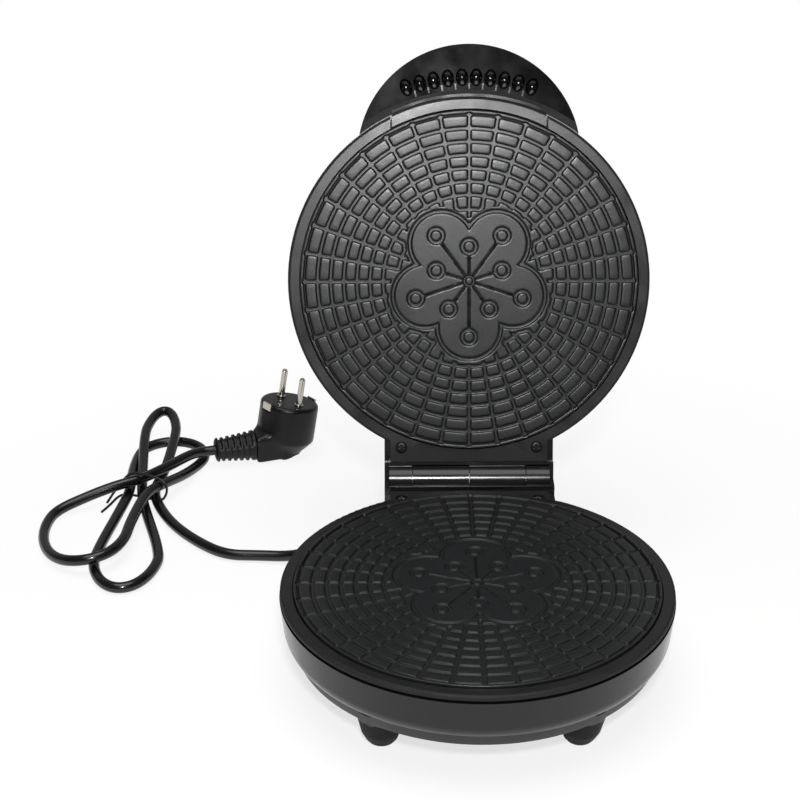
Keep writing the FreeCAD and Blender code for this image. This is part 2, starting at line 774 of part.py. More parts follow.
def along_gland(obj, shift=0):
    """Put an object that is drawn along +Z on the gland's axis."""
    outward = gland_axis()[1]
    turn, tilt = S.gland_angle, S.gland_tilt
    obj.Placement = FreeCAD.Placement(Vector(), FreeCAD.Rotation(Vector(0, 0, 1), outward))
    radius = GLAND_CIRCLE + cosine(tilt) * shift
    bind(obj, "Placement.Base.x", radius * cosine(turn))
    bind(obj, "Placement.Base.y", -radius * sine(turn))
    bind(obj, "Placement.Base.z", -S.gland_drop - sine(tilt) * shift)
    return obj


def build_base(plate):
    """All the pieces that stand on the table, apart from the cord."""
    shell = fastened_half("base", PANEL_SINK, plate, in_base)
    wire_hole = along_gland(primitive("Cylinder", "gland_opening", Radius=S.gland_hole + HOLE_FIT,
                                      Height=24), -12)
    keep(cut("base_bowl_drilled", shell, [wire_hole]), "base_shell", in_base)

    cover = new_body("bottom_cover_body")
    edge = RIM - S.wall_tuck - S.cover_tuck
    low = edge - S.bottom_draft
    turned(cover, [[(edge, FOOT), (low, BOTTOM + 0.8), (low - 0.8, BOTTOM), (0, BOTTOM), (0, COVER_INNER),
                    (low - S.cover_thick, COVER_INNER), (edge - S.wall_thick, FOOT)]])
    for side in (-1, 1):
        for end in (-1, 1):
            add_foot(cover, side, end)
    slot = rectangle(S.vent_start, S.vent_start + S.vent_length, -S.vent_width / 2, S.vent_width / 2)
    vent = prism(cover, "XY_Plane", [slot], S.cover_thick + 2, lift=BOTTOM - 1, kind="Pocket", flip=True)
    ring_of(cover, vent, 10)
    spots = [around(BOSS_CIRCLE, angle) for angle in BOSS_ANGLES]
    tubes = [Circle(x, y, S.boss_radius - 1.2) for x, y in spots]
    prism(cover, "XY_Plane", tubes, FOOT - BOTTOM - 1, lift=BOTTOM + 1)
    prism(cover, "XY_Plane", [Circle(x, y, 3.3) for x, y in spots], 4.6, lift=BOTTOM - 1, kind="Pocket",
          flip=True)
    prism(cover, "XY_Plane", [Circle(x, y, 1.5 + HOLE_FIT) for x, y in spots], 14, lift=BOTTOM - 1,
          kind="Pocket", flip=True)
    keep(cover, "bottom_cover", in_base)
    keep(screw_set("bottom_cover_screw", spots, 3.0, 1.5, size(13), BOTTOM + 3.6), "bottom_cover_screws",
         in_base)

    x, y = TERMINAL
    terminal = new_body("terminal_body")
    prism(terminal, "XY_Plane", [rectangle(x - 17, x + 17, y - 7, y + 7)], 11, lift=COVER_INNER)
    wells = [Circle(x + step * 10, y, 2.6) for step in (-1, 0, 1)]
    prism(terminal, "XY_Plane", wells, 5, lift=COVER_INNER + 11, kind="Pocket")
    ways = [Circle(x + step * 10, COVER_INNER + 3, 1.6) for step in (-1, 0, 1)]
    prism(terminal, "XZ_Plane", ways, 30, lift=-y, kind="Pocket", both_ways=True)
    keep(terminal, "terminal_block", in_base)
    grips = [rod("terminal_screw_{}".format(step), 2.5, 4, x + step * 10, y,
                 COVER_INNER + 6) for step in (-1, 0, 1)]
    keep(group("terminal_screw_set", grips), "terminal_screws", in_base)

    sleeve = rod("fuse_sleeve", 2.2, 26, -38, 12, PLATE_BACK - 2.4, (0, 1, 0), 90)
    lead = rod("fuse_lead", 0.6, 42, -46, 12, PLATE_BACK - 2.4, (0, 1, 0), 90)
    keep(fuse("fuse_body", [sleeve, lead]), "thermal_fuse", in_base)

    tag = block("earth_blade", 6.3, 14, 0.8, 0, -36, PLATE_BACK - 0.9)
    nut = rod("earth_nut", 3.4, 3.4, 0, -30, PLATE_BACK - 3.5)
    keep(fuse("earth_tag_body", [tag, nut]), "earth_tag", in_base)

    hinge_pins = [rod("hinge_pin_" + side, S.pin_radius, S.pin_outer - S.pin_inner, start, HINGE, 0,
                      (0, 1, 0), 90)
                  for side, start in (("near", S.pin_inner), ("far", -S.pin_outer))]
    keep(group("hinge_pin_pair", hinge_pins), "hinge_pins", in_base)
    span = S.pin_inner * 2 - 4
    outer = rod("sleeve_outer", S.sleeve_radius, span, -span / 2, HINGE, 0, (0, 1, 0), 90)
    inner = rod("sleeve_inner", S.sleeve_bore, span, -span / 2, HINGE, 0, (0, 1, 0), 90)
    keep(cut("sleeve_tube", outer, [inner]), "hinge_lead_sleeve", in_base)
    build_gland()


def add_foot(cover, side, end):
    """A tapered foot that leans inwards, with an eased lower edge."""
    ground = -S.closing_height
    waist = ground + S.foot_waist_height
    top = FOOT - 1
    lean = (top - waist) / (top - ground)
    sections = []
    for height, share, radius in ((top, 0, S.foot_top), (waist, lean, S.foot_waist),
                                  (ground + S.foot_edge * 3, 1, S.foot_bottom + S.foot_edge * 1.6),
                                  (ground + S.foot_edge, 1, S.foot_bottom),
                                  (ground, 1, S.foot_bottom - S.foot_edge * 2)):
        x, y = S.foot_x - S.foot_lean_x * share, S.foot_y - S.foot_lean_y * share
        centre = Circle(side * x, end * y, radius)
        sections.append(sketch_on(cover, "XY_Plane", [centre], height))
    foot = cover.newObject("PartDesign::AdditiveLoft", cover.Name + "_foot")
    foot.Profile = sections[0]
    foot.Sections = sections[1:]
    foot.Ruled = True


def build_gland():
    """The cord's tapered strain relief, the clamp inside the bowl and the leads to the terminal block."""
    gland = new_body("gland_body")
    neck = S.gland_hole
    collar = neck * sine(S.gland_tilt) / cosine(S.gland_tilt) + S.wall_thick
    turned(gland, [[(0, -collar - 2.4), (neck + 1.2, -collar - 2.4), (neck + 1.2, -collar - 0.8),
                    (neck, -collar - 0.8),
                    (neck, collar), (neck + 1.2, collar), (neck + 1.2, collar + 1.8), (neck, collar + 2.4),
                    (S.cord_radius + 1.1, S.relief_length), (0, S.relief_length)]])
    keep(group("gland_set", [along_gland(gland)]), "cord_gland", in_base)

    turn = -S.gland_angle.value
    x, y = around(GLAND_CIRCLE - 34, turn)
    axis_z = COVER_INNER + S.lead_height
    clamp_top = S.lead_height + 4.5
    sheath_end = GLAND_CIRCLE - 44
    saddle = block("clamp_saddle", 7, 24, clamp_top, x, y, COVER_INNER, turn)
    way = rod("clamp_way", S.cord_radius + 0.05, 20, *around(GLAND_CIRCLE - 44, turn), axis_z, (0, 0, 1), 0)
    way.Placement = FreeCAD.Placement(Vector(), FreeCAD.Rotation(Vector(0, 0, 1), around_vector(turn)))
    clamp_holes = []
    clamp_screws = []
    for number, side in enumerate((-1, 1)):
        sx, sy = x - side * 8 * sine(turn), y + side * 8 * cosine(turn)
        drill = 1.5 + HOLE_FIT
        clamp_holes.append(rod("clamp_hole_{}".format(number), drill, clamp_top + 1, sx, sy, COVER_INNER))
        shank = rod("clamp_shank_{}".format(number), 1.5, clamp_top - 0.5, sx, sy, COVER_INNER + 0.5)
        head = rod("clamp_head_{}".format(number), 2.9, 1.8, sx, sy, COVER_INNER + clamp_top)
        clamp_screws.append(fuse("clamp_screw_{}".format(number), [shank, head]))
    keep(cut("clamp_body", saddle, [way] + clamp_holes), "cord_clamp", in_base)
    keep(group("clamp_screw_pair", clamp_screws), "cord_clamp_screws", in_base)

    sheath = rod("inner_sheath", S.cord_radius, 24, *around(sheath_end, turn), axis_z)
    sheath.Placement = FreeCAD.Placement(Vector(), FreeCAD.Rotation(Vector(0, 0, 1), around_vector(turn)))
    start_x, start_y = around(sheath_end, turn)
    wires = [sheath]
    low = COVER_INNER.value + 3
    block_x, block_y = TERMINAL
    for step in (-1, 0, 1):
        begin = Vector(start_x.value, start_y.value, axis_z.value + 2.8 * step)
        end = Vector(block_x + step * 10, block_y - 7, low)
        route = [begin, begin + around_vector(turn + 180) * 6, end + Vector(0, 7 * step - 11, 0), end]
        wires.append(tube_feature("inner_wire_{}".format(step + 1), route, 0.9))
    for side in (-1, 1):
        top = element_pin_tip(side)
        over = SHIELD_Z.value - S.shield_thick.value - 2.7
        way = block_x + side * 10
        route = [top, Vector(top.x, top.y, over), Vector(way, block_y - 4, over),
                 Vector(way, block_y + 16, over), Vector(way, block_y + 16, low),
                 Vector(way, block_y + 7, low)]
        wires.append(tube_feature("element_wire_{}".format(side + 1), route, 1.1))
    keep(group("base_lead_set", wires), "base_leads", in_base)


def element_pin_tip(side):
    """The underside of one end pin of the element, near its tip."""
    half = math.radians(S.element_gap_angle.value / 2)
    reach = S.element_circle.value
    x = reach * math.sin(half) - S.element_pin_length.value + 1.5
    return Vector(side * x, -reach * math.cos(half), ELEMENT_Z.value - S.element_pin.value)


def around_vector(angle):
    """Unit vector at an angle in the ground plane."""
    return Vector(math.cos(math.radians(angle)), math.sin(math.radians(angle)), 0)


# Lid

def build_lid(plate):
    """All the pieces that swing with the lid."""
    shell = fastened_half("lid", size(0), plate, in_lid)
    heights = (-S.handle_parting + 3.6, -S.handle_parting - 4.2)
    spots = [(side * 22, height) for side in (-1, 1) for height in heights]
    tools = [rod("handle_hole_{}".format(number), 1.5 + HOLE_FIT, 12, x, HANDLE_DRILL, z, (1, 0, 0), -90)
             for number, (x, z) in enumerate(spots)]
    keep(cut("lid_bowl_drilled", shell, tools), "lid_shell", in_lid)

    cover = new_body("lid_cover_body")
    edge = RIM - S.wall_tuck - S.cover_tuck
    turned(cover, [[(edge, FOOT), (edge - 1.2, FOOT - 3.4), (edge - 7, LID_TOP + 1.9), (edge - 19, LID_TOP),
                    (0, LID_TOP), (0, LID_INNER), (edge - 19.3, LID_INNER), (edge - 8, LID_INNER + 1.7),
                    (edge - 3, FOOT - 2.6), (edge - S.wall_thick, FOOT)]])
    spots = [around(BOSS_CIRCLE, angle) for angle in BOSS_ANGLES]
    prism(cover, "XY_Plane", [Circle(x, y, S.boss_radius - 1.2) for x, y in spots], FOOT - LID_TOP - 2,
          lift=LID_TOP + 2)
    prism(cover, "XY_Plane", [Circle(x, y, 3.3) for x, y in spots], 4.6, lift=LID_TOP - 1, kind="Pocket",
          flip=True)
    prism(cover, "XY_Plane", [Circle(x, y, 1.5 + HOLE_FIT) for x, y in spots], 14, lift=LID_TOP - 1,
          kind="Pocket", flip=True)
    lamps = [(side * 10, 72) for side in (-1, 1)]
    prism(cover, "XY_Plane", [Circle(x, y, 3.2) for x, y in lamps], 6, lift=LID_TOP - 1, kind="Pocket",
          flip=True)
    keep(cover, "lid_cover", in_lid)
    keep(screw_set("lid_cover_screw", spots, 3.0, 1.5, size(13), LID_TOP + 3.6), "lid_cover_screws", in_lid)

    lens_body = new_body("lens_body")
    prism(lens_body, "XY_Plane", [Circle(x, y, 3.1) for x, y in lamps], S.cover_thick + 1, lift=LID_TOP - 1)
    prism(lens_body, "XY_Plane", [Circle(x, y, 4.6) for x, y in lamps], 1.4, lift=LID_INNER)
    keep(lens_body, "indicator_lenses", in_lid)
    glow = []
    for number, (x, y) in enumerate(lamps):
        glass = rod("lamp_glass_{}".format(number), 2.2, 8, x, y, LID_INNER + 1.4)
        foot = rod("lamp_foot_{}".format(number), 2.6, 3, x, y, LID_INNER + 9.4)
        glow.append(fuse("lamp_{}".format(number), [glass, foot]))
    keep(group("lamp_pair", glow), "indicator_lamps", in_lid)
    build_handle()

    wires = []
    for side in (-1, 1):
        top = element_pin_tip(side)
        turn = top + Vector(0, 0, -11)
        route = [top, turn, Vector(side * 8, -84, turn.z - 1), Vector(side * 6, -101, turn.z + 1)]
        wires.append(tube_feature("lid_wire_{}".format(side + 1), route, 1.1))
    keep(group("lid_lead_set", wires), "lid_leads", in_lid)


def handle_outline():
    """A half-moon: one arc round the front and one along the lid's wall."""
    wall = RIM + S.handle_fit
    squares = wall * wall - S.handle_radius * S.handle_radius + HANDLE_MIDDLE * HANDLE_MIDDLE
    tip_y = squares / (HANDLE_MIDDLE * 2)
    tip_x = root(wall * wall - tip_y * tip_y)
    return [(-tip_x, tip_y), Bend(S.handle_radius, -1), (tip_x, tip_y), Bend(wall, 1)]


def handle_level(reach):
    """Height of the handle's sloping face at a distance from the plate's axis."""
    fall = sine(S.handle_slope) / cosine(S.handle_slope)
    return -S.handle_face - (reach - STRIP_END - S.handle_flat) * fall


def handle_scoops():
    """Tools for the row of shallow hollows in the handle's face."""
    tools = []
    for number in range(SCOOPS):
        turn = 90 + S.scoop_pitch * (number - (SCOOPS - 1) / 2)
        x, y = around(SCOOP_MIDDLE, turn)
        scoop = primitive("Ellipsoid", "scoop_{}".format(number), x, y, handle_level(SCOOP_MIDDLE),
                          Radius1=S.scoop_depth, Radius2=S.scoop_half_length, Radius3=S.scoop_half_width)
        tilt = FreeCAD.Rotation(Vector(0, 1, 0), S.handle_slope.value)
        swing = FreeCAD.Rotation(Vector(0, 0, 1), turn.value)
        scoop.Placement = FreeCAD.Placement(Vector(), swing.multiply(tilt))
        tools.append(scoop)
    return tools


def build_handle():
    """The two mouldings of the handle and the screws that hold them to the lid's wall."""
    lower = new_body("handle_lower_body")
    prism(lower, "XY_Plane", [handle_outline()], S.handle_parting - S.handle_face, lift=-S.handle_parting)
    strip = straight_ended(STRIP_START, STRIP_END, S.front_gap_half - S.strip_side)
    prism(lower, "XY_Plane", [strip], S.ring_flange - HOLE_FIT * 2,
          lift=FACE - S.ring_flange + HOLE_FIT * 2)
    inner, outer = STRIP_START + S.strip_face, STRIP_START + S.strip_face + S.strip_groove
    deep = FACE - S.strip_groove_depth
    turned(lower, [[(inner, deep), (outer, deep), (outer, FACE + 1), (inner, FACE + 1)]], "Groove")
    start, end = STRIP_END + S.handle_flat, HANDLE_MIDDLE + S.handle_radius + 2
    low = handle_level(end)
    turned(lower, [[(start, -S.handle_face), (end, low), (end, -S.face_gap), (start, -S.face_gap)]], "Groove")
    half = S.rib_width / 2
    first = S.scoop_pitch * (SCOOPS - 2) / 2
    across, along = sine(first), cosine(first)
    near = STRIP_END + S.rib_start
    rib = [(distance * across + side * half * along, distance * along - side * half * across)
           for distance, side in ((near, -1), (near + S.rib_length, -1), (near + S.rib_length, 1), (near, 1))]
    rib = prism(lower, "XY_Plane", [rib], 3, lift=-S.handle_face - 3)
    bind(ring_of(lower, rib, SCOOPS - 1), "Angle", S.scoop_pitch * (SCOOPS - 2))
    upper = new_body("handle_upper_body")
    prism(upper, "XY_Plane", [handle_outline()], S.handle_back - S.handle_parting, lift=-S.handle_parting,
          flip=True)
    heights = ((lower, "handle_lower", -S.handle_parting + 3.6),
               (upper, "handle_upper", -S.handle_parting - 4.2))
    for body, label, height in heights:
        holes = [rod("{}_hole_{}".format(label, side), 1.5 + HOLE_FIT, 22, side * 22, HANDLE_DRILL, height,
                     (1, 0, 0), -90)
                 for side in (-1, 1)]
        tools = holes + handle_scoops() if body == lower else holes
        keep(cut(label + "_drilled", body, tools), label, in_lid)
    screws = []
    inner_wall = RIM - S.wall_taper - S.wall_thick
    tuck = (S.wall_tuck - S.wall_taper) / (S.shell_depth - S.wall_knee)
    reaches = (inner_wall, inner_wall - (S.handle_parting + 7.1 - S.wall_knee) * tuck)
    for reach, (_, label, height) in zip(reaches, heights):
        wall = root(reach * reach - 25 * 25)
        for side in (-1, 1):
            tag = "{}_screw_{}".format(label, side)
            shank = rod(tag + "_shank", 1.5, 16, side * 22, wall, height, (1, 0, 0), -90)
            head = rod(tag + "_head", 2.9, 1.8, side * 22, wall - 1.8, height, (1, 0, 0), -90)
            screws.append(fuse(tag, [shank, head]))
    keep(group("handle_screw_set", screws), "handle_screws", in_lid)


# Cord

def rounded_wire(points):
    """Straight runs joined by tangent arcs. Returns the wire and the arcs' radii."""
    edges = []
    radii = []
    here = points[0]
    for before, corner, after in zip(points, points[1:], points[2:]):
        back, ahead = before - corner, after - corner
        reach = 0.45 * min(back.Length, ahead.Length)
        back.normalize()
        ahead.normalize()
        half_turn = (math.pi - back.getAngle(ahead)) / 2
        start, end = corner + back * reach, corner + ahead * reach
        inward = (back + ahead).normalize()
        radius = reach / math.tan(half_turn)
        middle = corner + inward * (radius / math.cos(half_turn) - radius)
        edges.append(Part.LineSegment(here, start).toShape())
        edges.append(Part.Arc(start, middle, end).toShape())
        radii.append(radius)
        here = end
    edges.append(Part.LineSegment(here, points[-1]).toShape())
    return Part.Wire(edges), radii


def tube_shape(points, radius):
    """A round tube along rounded runs. Returns the solid, the length and the tightest bend."""
    wire, radii = rounded_wire(points)
    profile = Part.Wire(Part.Circle(points[0], points[1] - points[0], radius).toShape())
    solid = wire.makePipeShell([profile], True, False)
    expected = math.pi * radius ** 2 * wire.Length
    if abs(solid.Volume - expected) > 0.02 * expected:
        note = "a tube's volume {:.1f} is off its section times length {:.1f}"
        raise RuntimeError(note.format(solid.Volume, expected))
    return solid, wire.Length, min(radii) if radii else 0.0


def tube_feature(name, points, radius):
    """Add a tube as a document object."""
    obj = doc.addObject("Part::Feature", name)
    obj.Shape = tube_shape(points, radius)[0]
    return obj


def loop_points(x, y, across, along, lean, start, sweep, heights):
    """Corners of the polygon round an arc of an ellipse that leans sideways, one corner for each height."""
    step = sweep / len(heights)
    grow = 1 / math.cos(math.radians(step) / 2)
    lean_cos, lean_sin = math.cos(math.radians(lean)), math.sin(math.radians(lean))
    corners = []
    for number, height in enumerate(heights):
        angle = math.radians(start + (number + 0.5) * step)
        u, v = across * grow * math.cos(angle), along * grow * math.sin(angle)
        corners.append(Vector(x + u * lean_cos - v * lean_sin, y + u * lean_sin + v * lean_cos, height))
    return corners


def round_loop(x, y, radius, start, sweep, heights):
    """Corners of the polygon round an arc of a circle."""
    return loop_points(x, y, radius, radius, 0, start, sweep, heights)


def cord_levels():
    """Heights of the cord's middle on the table, and of the lower and upper strands at the tie."""
    ground = S.cord_radius.value + S.cord_lift.value
    low = ground + 2 * S.tie_wire.value + 0.2
    return ground, low, low + 2 * S.cord_radius.value + 0.6


def cord_route():
    """Corner points of the lead, the hank of four loops and the tail, from the gland to the plug's boot."""
    middle, outward = gland_axis()
    ground, low, high = cord_levels()
    half_turn = FreeCAD.Rotation(Vector(0, 0, 1), 180)
    outward = half_turn.multVec(outward)
    start = half_turn.multVec(middle) + Vector(0, 0, S.closing_height.value)
    start = start + outward * S.relief_length.value
    lead = [start, start + outward * 14]
    lead += [Vector(*point) for point in (
        (-95.4, 116.2, 11.6), (-107.4, 121.8, 5.0), (-125.0, 124.0, ground), (-146.0, 123.0, ground),
        (-165.4, 139.0, ground), (-181.6, 160.0, ground), (-192.4, 181.0, ground + 1.6))]
    hank = [Vector(-197.4, 201.0, low), Vector(-193.8, 226.0, low + 0.6), Vector(-191.8, 262.0, 11.4)]
    hank += round_loop(-200.8, 289.0, 9.4, -4, 188, (12.8, 13.2, 13.6, 13.8, 13.8, 13.6, 13.2, 12.8))
    hank += [Vector(-209.4, 262.0, 11.4), Vector(-206.2, 228.0, low + 0.6), Vector(-204.8, 201.0, low),
             Vector(-202.2, 184.0, low - 0.8)]
    hank += round_loop(-204.6, 103.5, 19.0, 14, -210, (ground,) * 8)
    hank += [Vector(-214.2, 184.0, low - 0.6), Vector(-212.2, 201.0, low), Vector(-214.2, 226.0, low - 1.0)]
    hank += round_loop(-191.0, 250.5, 21.8, 184, -222, (ground,) * 8)
    hank += [Vector(-179.0, 217.5, high - 5.2), Vector(-190.2, 196.6, high - 0.4),
             Vector(-199.8, 183.6, high + 0.4)]
    levels = (high - 0.6, high - 0.9, high - 1.2, high - 1.4, 9.4, 6.4, 4.2, ground, ground, ground + 1)
    hank += loop_points(-232.5, 147.0, 26.0, 42.0, 11, 4, -246, levels)
    hank += [Vector(-236.0, 188.0, high - 4.0), Vector(-219.0, 195.0, high - 0.3),
             Vector(-204.4, 202.4, high)]
    end, along = boot_end()
    tail = [Vector(-189.0, 219.4, high + 0.3), Vector(-177.0, 235.5, high + 0.1), end + along * 10, end]
    return lead, hank, tail


def least_gap(points, diameter):
    """Least clear distance of a tube to itself, measured on points a millimetre or two apart."""
    skip = int(math.pi * diameter)
    best = 1e9
    for number, point in enumerate(points):
        for other in points[number + skip:]:
            best = min(best, (point - other).Length)
    return best - diameter


def build_cord():
    """The free lead, the tied hank and the tail, cut across in the middle of two runs."""
    lead, hank, tail = cord_route()
    first_cut = (lead[-1] + hank[0]) * 0.5
    second_cut = (hank[-1] + tail[0]) * 0.5
    routes = (("power_cord_lead", lead + [first_cut]),
              ("power_cord_hank", [first_cut] + hank + [second_cut]),
              ("power_cord_tail", [second_cut] + tail))
    total = 0.0
    for label, points in routes:
        solid, length, tightest = tube_shape(points, S.cord_radius.value)
        obj = doc.addObject("Part::Feature", label + "_tube")
        obj.Shape = solid
        keep(obj, label)
        total += length
        print("{}: {:.0f} mm long, tightest bend {:.1f} mm".format(label, length, tightest))
    whole = rounded_wire(lead + hank + tail)[0]
    samples = whole.discretize(Distance=1.0)
    gap = least_gap(samples, 2 * S.cord_radius.value)
    print("cord: {:.0f} mm, least gap to itself {:.2f} mm".format(total, gap))

    wire = S.tie_wire.value
    bottom, top = wire + 0.15, cord_levels()[2] + S.cord_radius.value + wire + 1.3
    tie = [Vector(-229.0, 171.0, bottom), Vector(-223.4, 187.0, bottom), Vector(-220.6, 200.0, bottom)]
    tie += [tie_point(reach, height) for reach, height in (
        (4.0, bottom), (28.5, bottom), (33.4, 4.5), (35.8, 12.5), (31.0, top), (10.0, top), (4.2, 12.8),
        (0.4, 7.0))]
    tie += [Vector(-223.0, 200.0, 3.8), Vector(-225.4, 187.0, 3.4), Vector(-229.0, 179.0, 2.8)]
    keep(tube_feature("cord_tie_wire", tie, wire), "cord_tie")


def tie_point(reach, height):
    """A point in the upright plane of the tie, which crosses the hank aslant."""
    return Vector(-219.0 + 0.8977 * reach, 206.5 - 0.442 * reach, height)


# Plug

def at_plug(obj):
    """Put an object of the plug where it lies on the table, its cord side along the plug's direction."""
    move(obj, S.plug_x, S.plug_y, 0, (0, 0, 1), S.plug_turn.value)
    bind(obj, "Placement.Rotation.Angle", S.plug_turn)


def leaned(obj):
    """Tip a piece of the plug's head back onto the edge of its underside."""
    lift = (S.plug_radius - S.plug_chamfer) * sine(S.plug_lean)
    move(obj, 0, 0, lift, (0, -1, 0), S.plug_lean.value)
    bind(obj, "Placement.Rotation.Angle", S.plug_lean)
    return obj


def boot_end():
    """The face at the cord's end of the boot and the direction in which the cord leaves it."""
    turn = S.plug_turn.value
    along, across = around_vector(turn), around_vector(turn + 90)
    out = around_vector(turn - S.boot_swing.value)
    foot = Vector(S.plug_x.value, S.plug_y.value, S.boot_height.value)
    return foot + along * S.boot_x.value + across * S.boot_y.value + out * S.boot_length.value, out


def build_plug():
    """An angled plug that lies on its back with its pins up."""
    head = new_body("plug_head")
    high = S.plug_height
    turned(head, [[(0, 0.3), (S.plug_radius - S.plug_chamfer, 0.3), (S.plug_radius, S.plug_side),
                   (S.plug_radius, high - 1.5), (S.plug_radius - 1.5, high), (0, high)]])
    flats = []
    clips = []
    low = high - S.clip_reach
    for number, side in enumerate((-1, 1)):
        face = side * (S.plug_radius - 1.4)
        flats.append(block("clip_slot_{}".format(number), 4, 8.4, high, face + 2 * side, 0, low - 0.2))
        strip = block("clip_strip_{}".format(number), 1.2, 8, high - low + 0.4, face + 0.7 * side, 0, low)
        clips.append(leaned(group("clip_{}".format(number), [strip])))
    shaped = leaned(cut("plug_head_cut", head, flats))

    neck = new_body("plug_neck")
    across, along = S.boot_radius * sine(S.boot_swing), S.boot_radius * cosine(S.boot_swing)
    outline = [(-6, 11), (5, 12.5), (S.boot_x + across, S.boot_y + along),
               (S.boot_x - across * 0.6, S.boot_y - along * 0.6), (6, -15), (-6, -11)]
    prism(neck, "XY_Plane", [outline], S.neck_height, lift=0.5)
    keep(fuse("plug_moulding", [shaped, neck]), "plug_body", at_plug)
    keep(group("clip_pair", clips), "plug_earth_clips", at_plug)

    pins = new_body("plug_pin_pair")
    for radius, start, end in ((S.plug_pin_radius + 1, size(0), S.pin_collar),
                               (S.plug_pin_radius, S.pin_collar, S.plug_pin_length - 1),
                               (S.plug_pin_radius - 0.6, S.plug_pin_length - 1, S.plug_pin_length)):
        spots = [Circle(0, side * S.pin_spacing / 2, radius) for side in (-1, 1)]
        prism(pins, "XY_Plane", spots, end - start, lift=high + start)
    keep(group("pin_set", [leaned(pins)]), "plug_pins", at_plug)

    boot = new_body("boot_body")
    pitch = S.boot_length / (BOOT_RIBS + 0.5)
    profile = [(0, 0)]
    for rib in range(BOOT_RIBS):
        radius = S.boot_radius - S.boot_taper * rib
        start = pitch * rib
        profile += [(radius, start), (radius, start + pitch * 0.6), (radius - 1.6, start + pitch * 0.68),
                    (radius - 1.6, start + pitch * 0.92)]
    profile += [(radius, pitch * BOOT_RIBS), (radius - 1, S.boot_length), (0, S.boot_length)]
    turned(boot, [profile])
    move(boot, S.boot_x, S.boot_y, S.boot_height)
    swing = FreeCAD.Rotation(Vector(0, 0, 1), -S.boot_swing.value)
    boot.Placement = FreeCAD.Placement(Vector(), swing.multiply(FreeCAD.Rotation(Vector(0, 1, 0), 90)))
    keep(group("boot_set", [boot]), "plug_boot", at_plug)


patterned_plate = plate_body("plate_body")
build_base(patterned_plate)
build_lid(patterned_plate)
build_cord()
build_plug()
doc.recompute()

for obj in doc.Objects:
    if "Invalid" in obj.State or "Error" in obj.State:
        raise RuntimeError("{} could not be built".format(obj.Label))
os.makedirs("parts", exist_ok=True)
for node in NODES:
    shape = node.Shape
    if shape.isNull() or not shape.isValid() or not shape.Solids:
        raise RuntimeError("{} has no valid solid".format(node.Label))
    shape.exportStep(os.path.join("parts", node.Label + ".step"))
    print("{}: {} solids, {:.0f} mm3".format(node.Label, len(shape.Solids), shape.Volume))
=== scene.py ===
import json
import math

import bmesh
import bpy
import numpy as np
from mathutils import Matrix, Vector

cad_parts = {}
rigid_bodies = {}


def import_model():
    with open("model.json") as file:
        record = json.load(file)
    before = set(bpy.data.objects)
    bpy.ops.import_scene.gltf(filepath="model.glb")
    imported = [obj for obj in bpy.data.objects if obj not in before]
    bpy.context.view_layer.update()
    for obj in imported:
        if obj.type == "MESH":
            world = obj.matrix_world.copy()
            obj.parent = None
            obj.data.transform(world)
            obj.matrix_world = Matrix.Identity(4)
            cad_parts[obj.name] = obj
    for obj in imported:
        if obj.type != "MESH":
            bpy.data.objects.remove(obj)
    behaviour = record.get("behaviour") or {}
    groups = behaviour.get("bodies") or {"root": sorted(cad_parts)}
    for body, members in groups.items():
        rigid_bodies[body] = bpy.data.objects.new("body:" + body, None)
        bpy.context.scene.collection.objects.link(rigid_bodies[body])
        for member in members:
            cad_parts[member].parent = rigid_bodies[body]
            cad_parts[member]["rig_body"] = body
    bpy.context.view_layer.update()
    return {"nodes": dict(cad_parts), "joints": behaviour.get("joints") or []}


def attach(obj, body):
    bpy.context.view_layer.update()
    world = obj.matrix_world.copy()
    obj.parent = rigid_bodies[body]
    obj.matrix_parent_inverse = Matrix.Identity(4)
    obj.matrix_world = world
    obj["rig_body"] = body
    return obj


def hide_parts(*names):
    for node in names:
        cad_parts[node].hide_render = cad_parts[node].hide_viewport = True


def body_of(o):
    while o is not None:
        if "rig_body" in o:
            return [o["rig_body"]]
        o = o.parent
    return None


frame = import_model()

bl_info = {
    "name": "Waffle cone maker",
    "version": (1, 0, 0),
    "blender": (4, 5, 0),
    "location": "3D View > Sidebar > Cone maker",
    "description": "Builds the finished look of a waffle cone maker round its construction model",
    "category": "Object",
}

MM = 0.001
HINGE = Vector(frame["joints"][0]["pos_m"])
TIP = math.pi - math.radians(frame["joints"][0]["range_deg"][1])
# Each half is drawn face up, its hinge on the -Y side, and then put into place.
HALF = {
    "base": Matrix.Translation((0, 0, HINGE.z)) @ Matrix.Rotation(math.pi, 4, "Z"),
    "lid": Matrix.Translation(HINGE) @ Matrix.Rotation(TIP, 4, "X") @ Matrix.Translation((0, HINGE.y, 0)),
}


def linear(code):
    """Linear colour of an sRGB hex value."""
    shares = [int(code[place:place + 2], 16) / 255 for place in (1, 3, 5)]
    return [s / 12.92 if s <= 0.04045 else ((s + 0.055) / 1.055) ** 2.4 for s in shares] + [1.0]


def per(size):
    """Pattern scale for a grain of that many millimetres."""
    return 1 / (size * MM)


# Settings

def length(name, description, millimetres):
    """A length property."""
    return bpy.props.FloatProperty(name=name, description=description, default=millimetres * MM,
                                   unit="LENGTH", precision=5)


def number(name, description, value, unit="NONE"):
    """A number property."""
    return bpy.props.FloatProperty(name=name, description=description, default=value, unit=unit)


def colour(name, description, code):
    """A colour property."""
    return bpy.props.FloatVectorProperty(name=name, description=description, default=linear(code), size=4,
                                         subtype="COLOR", min=0, max=1)


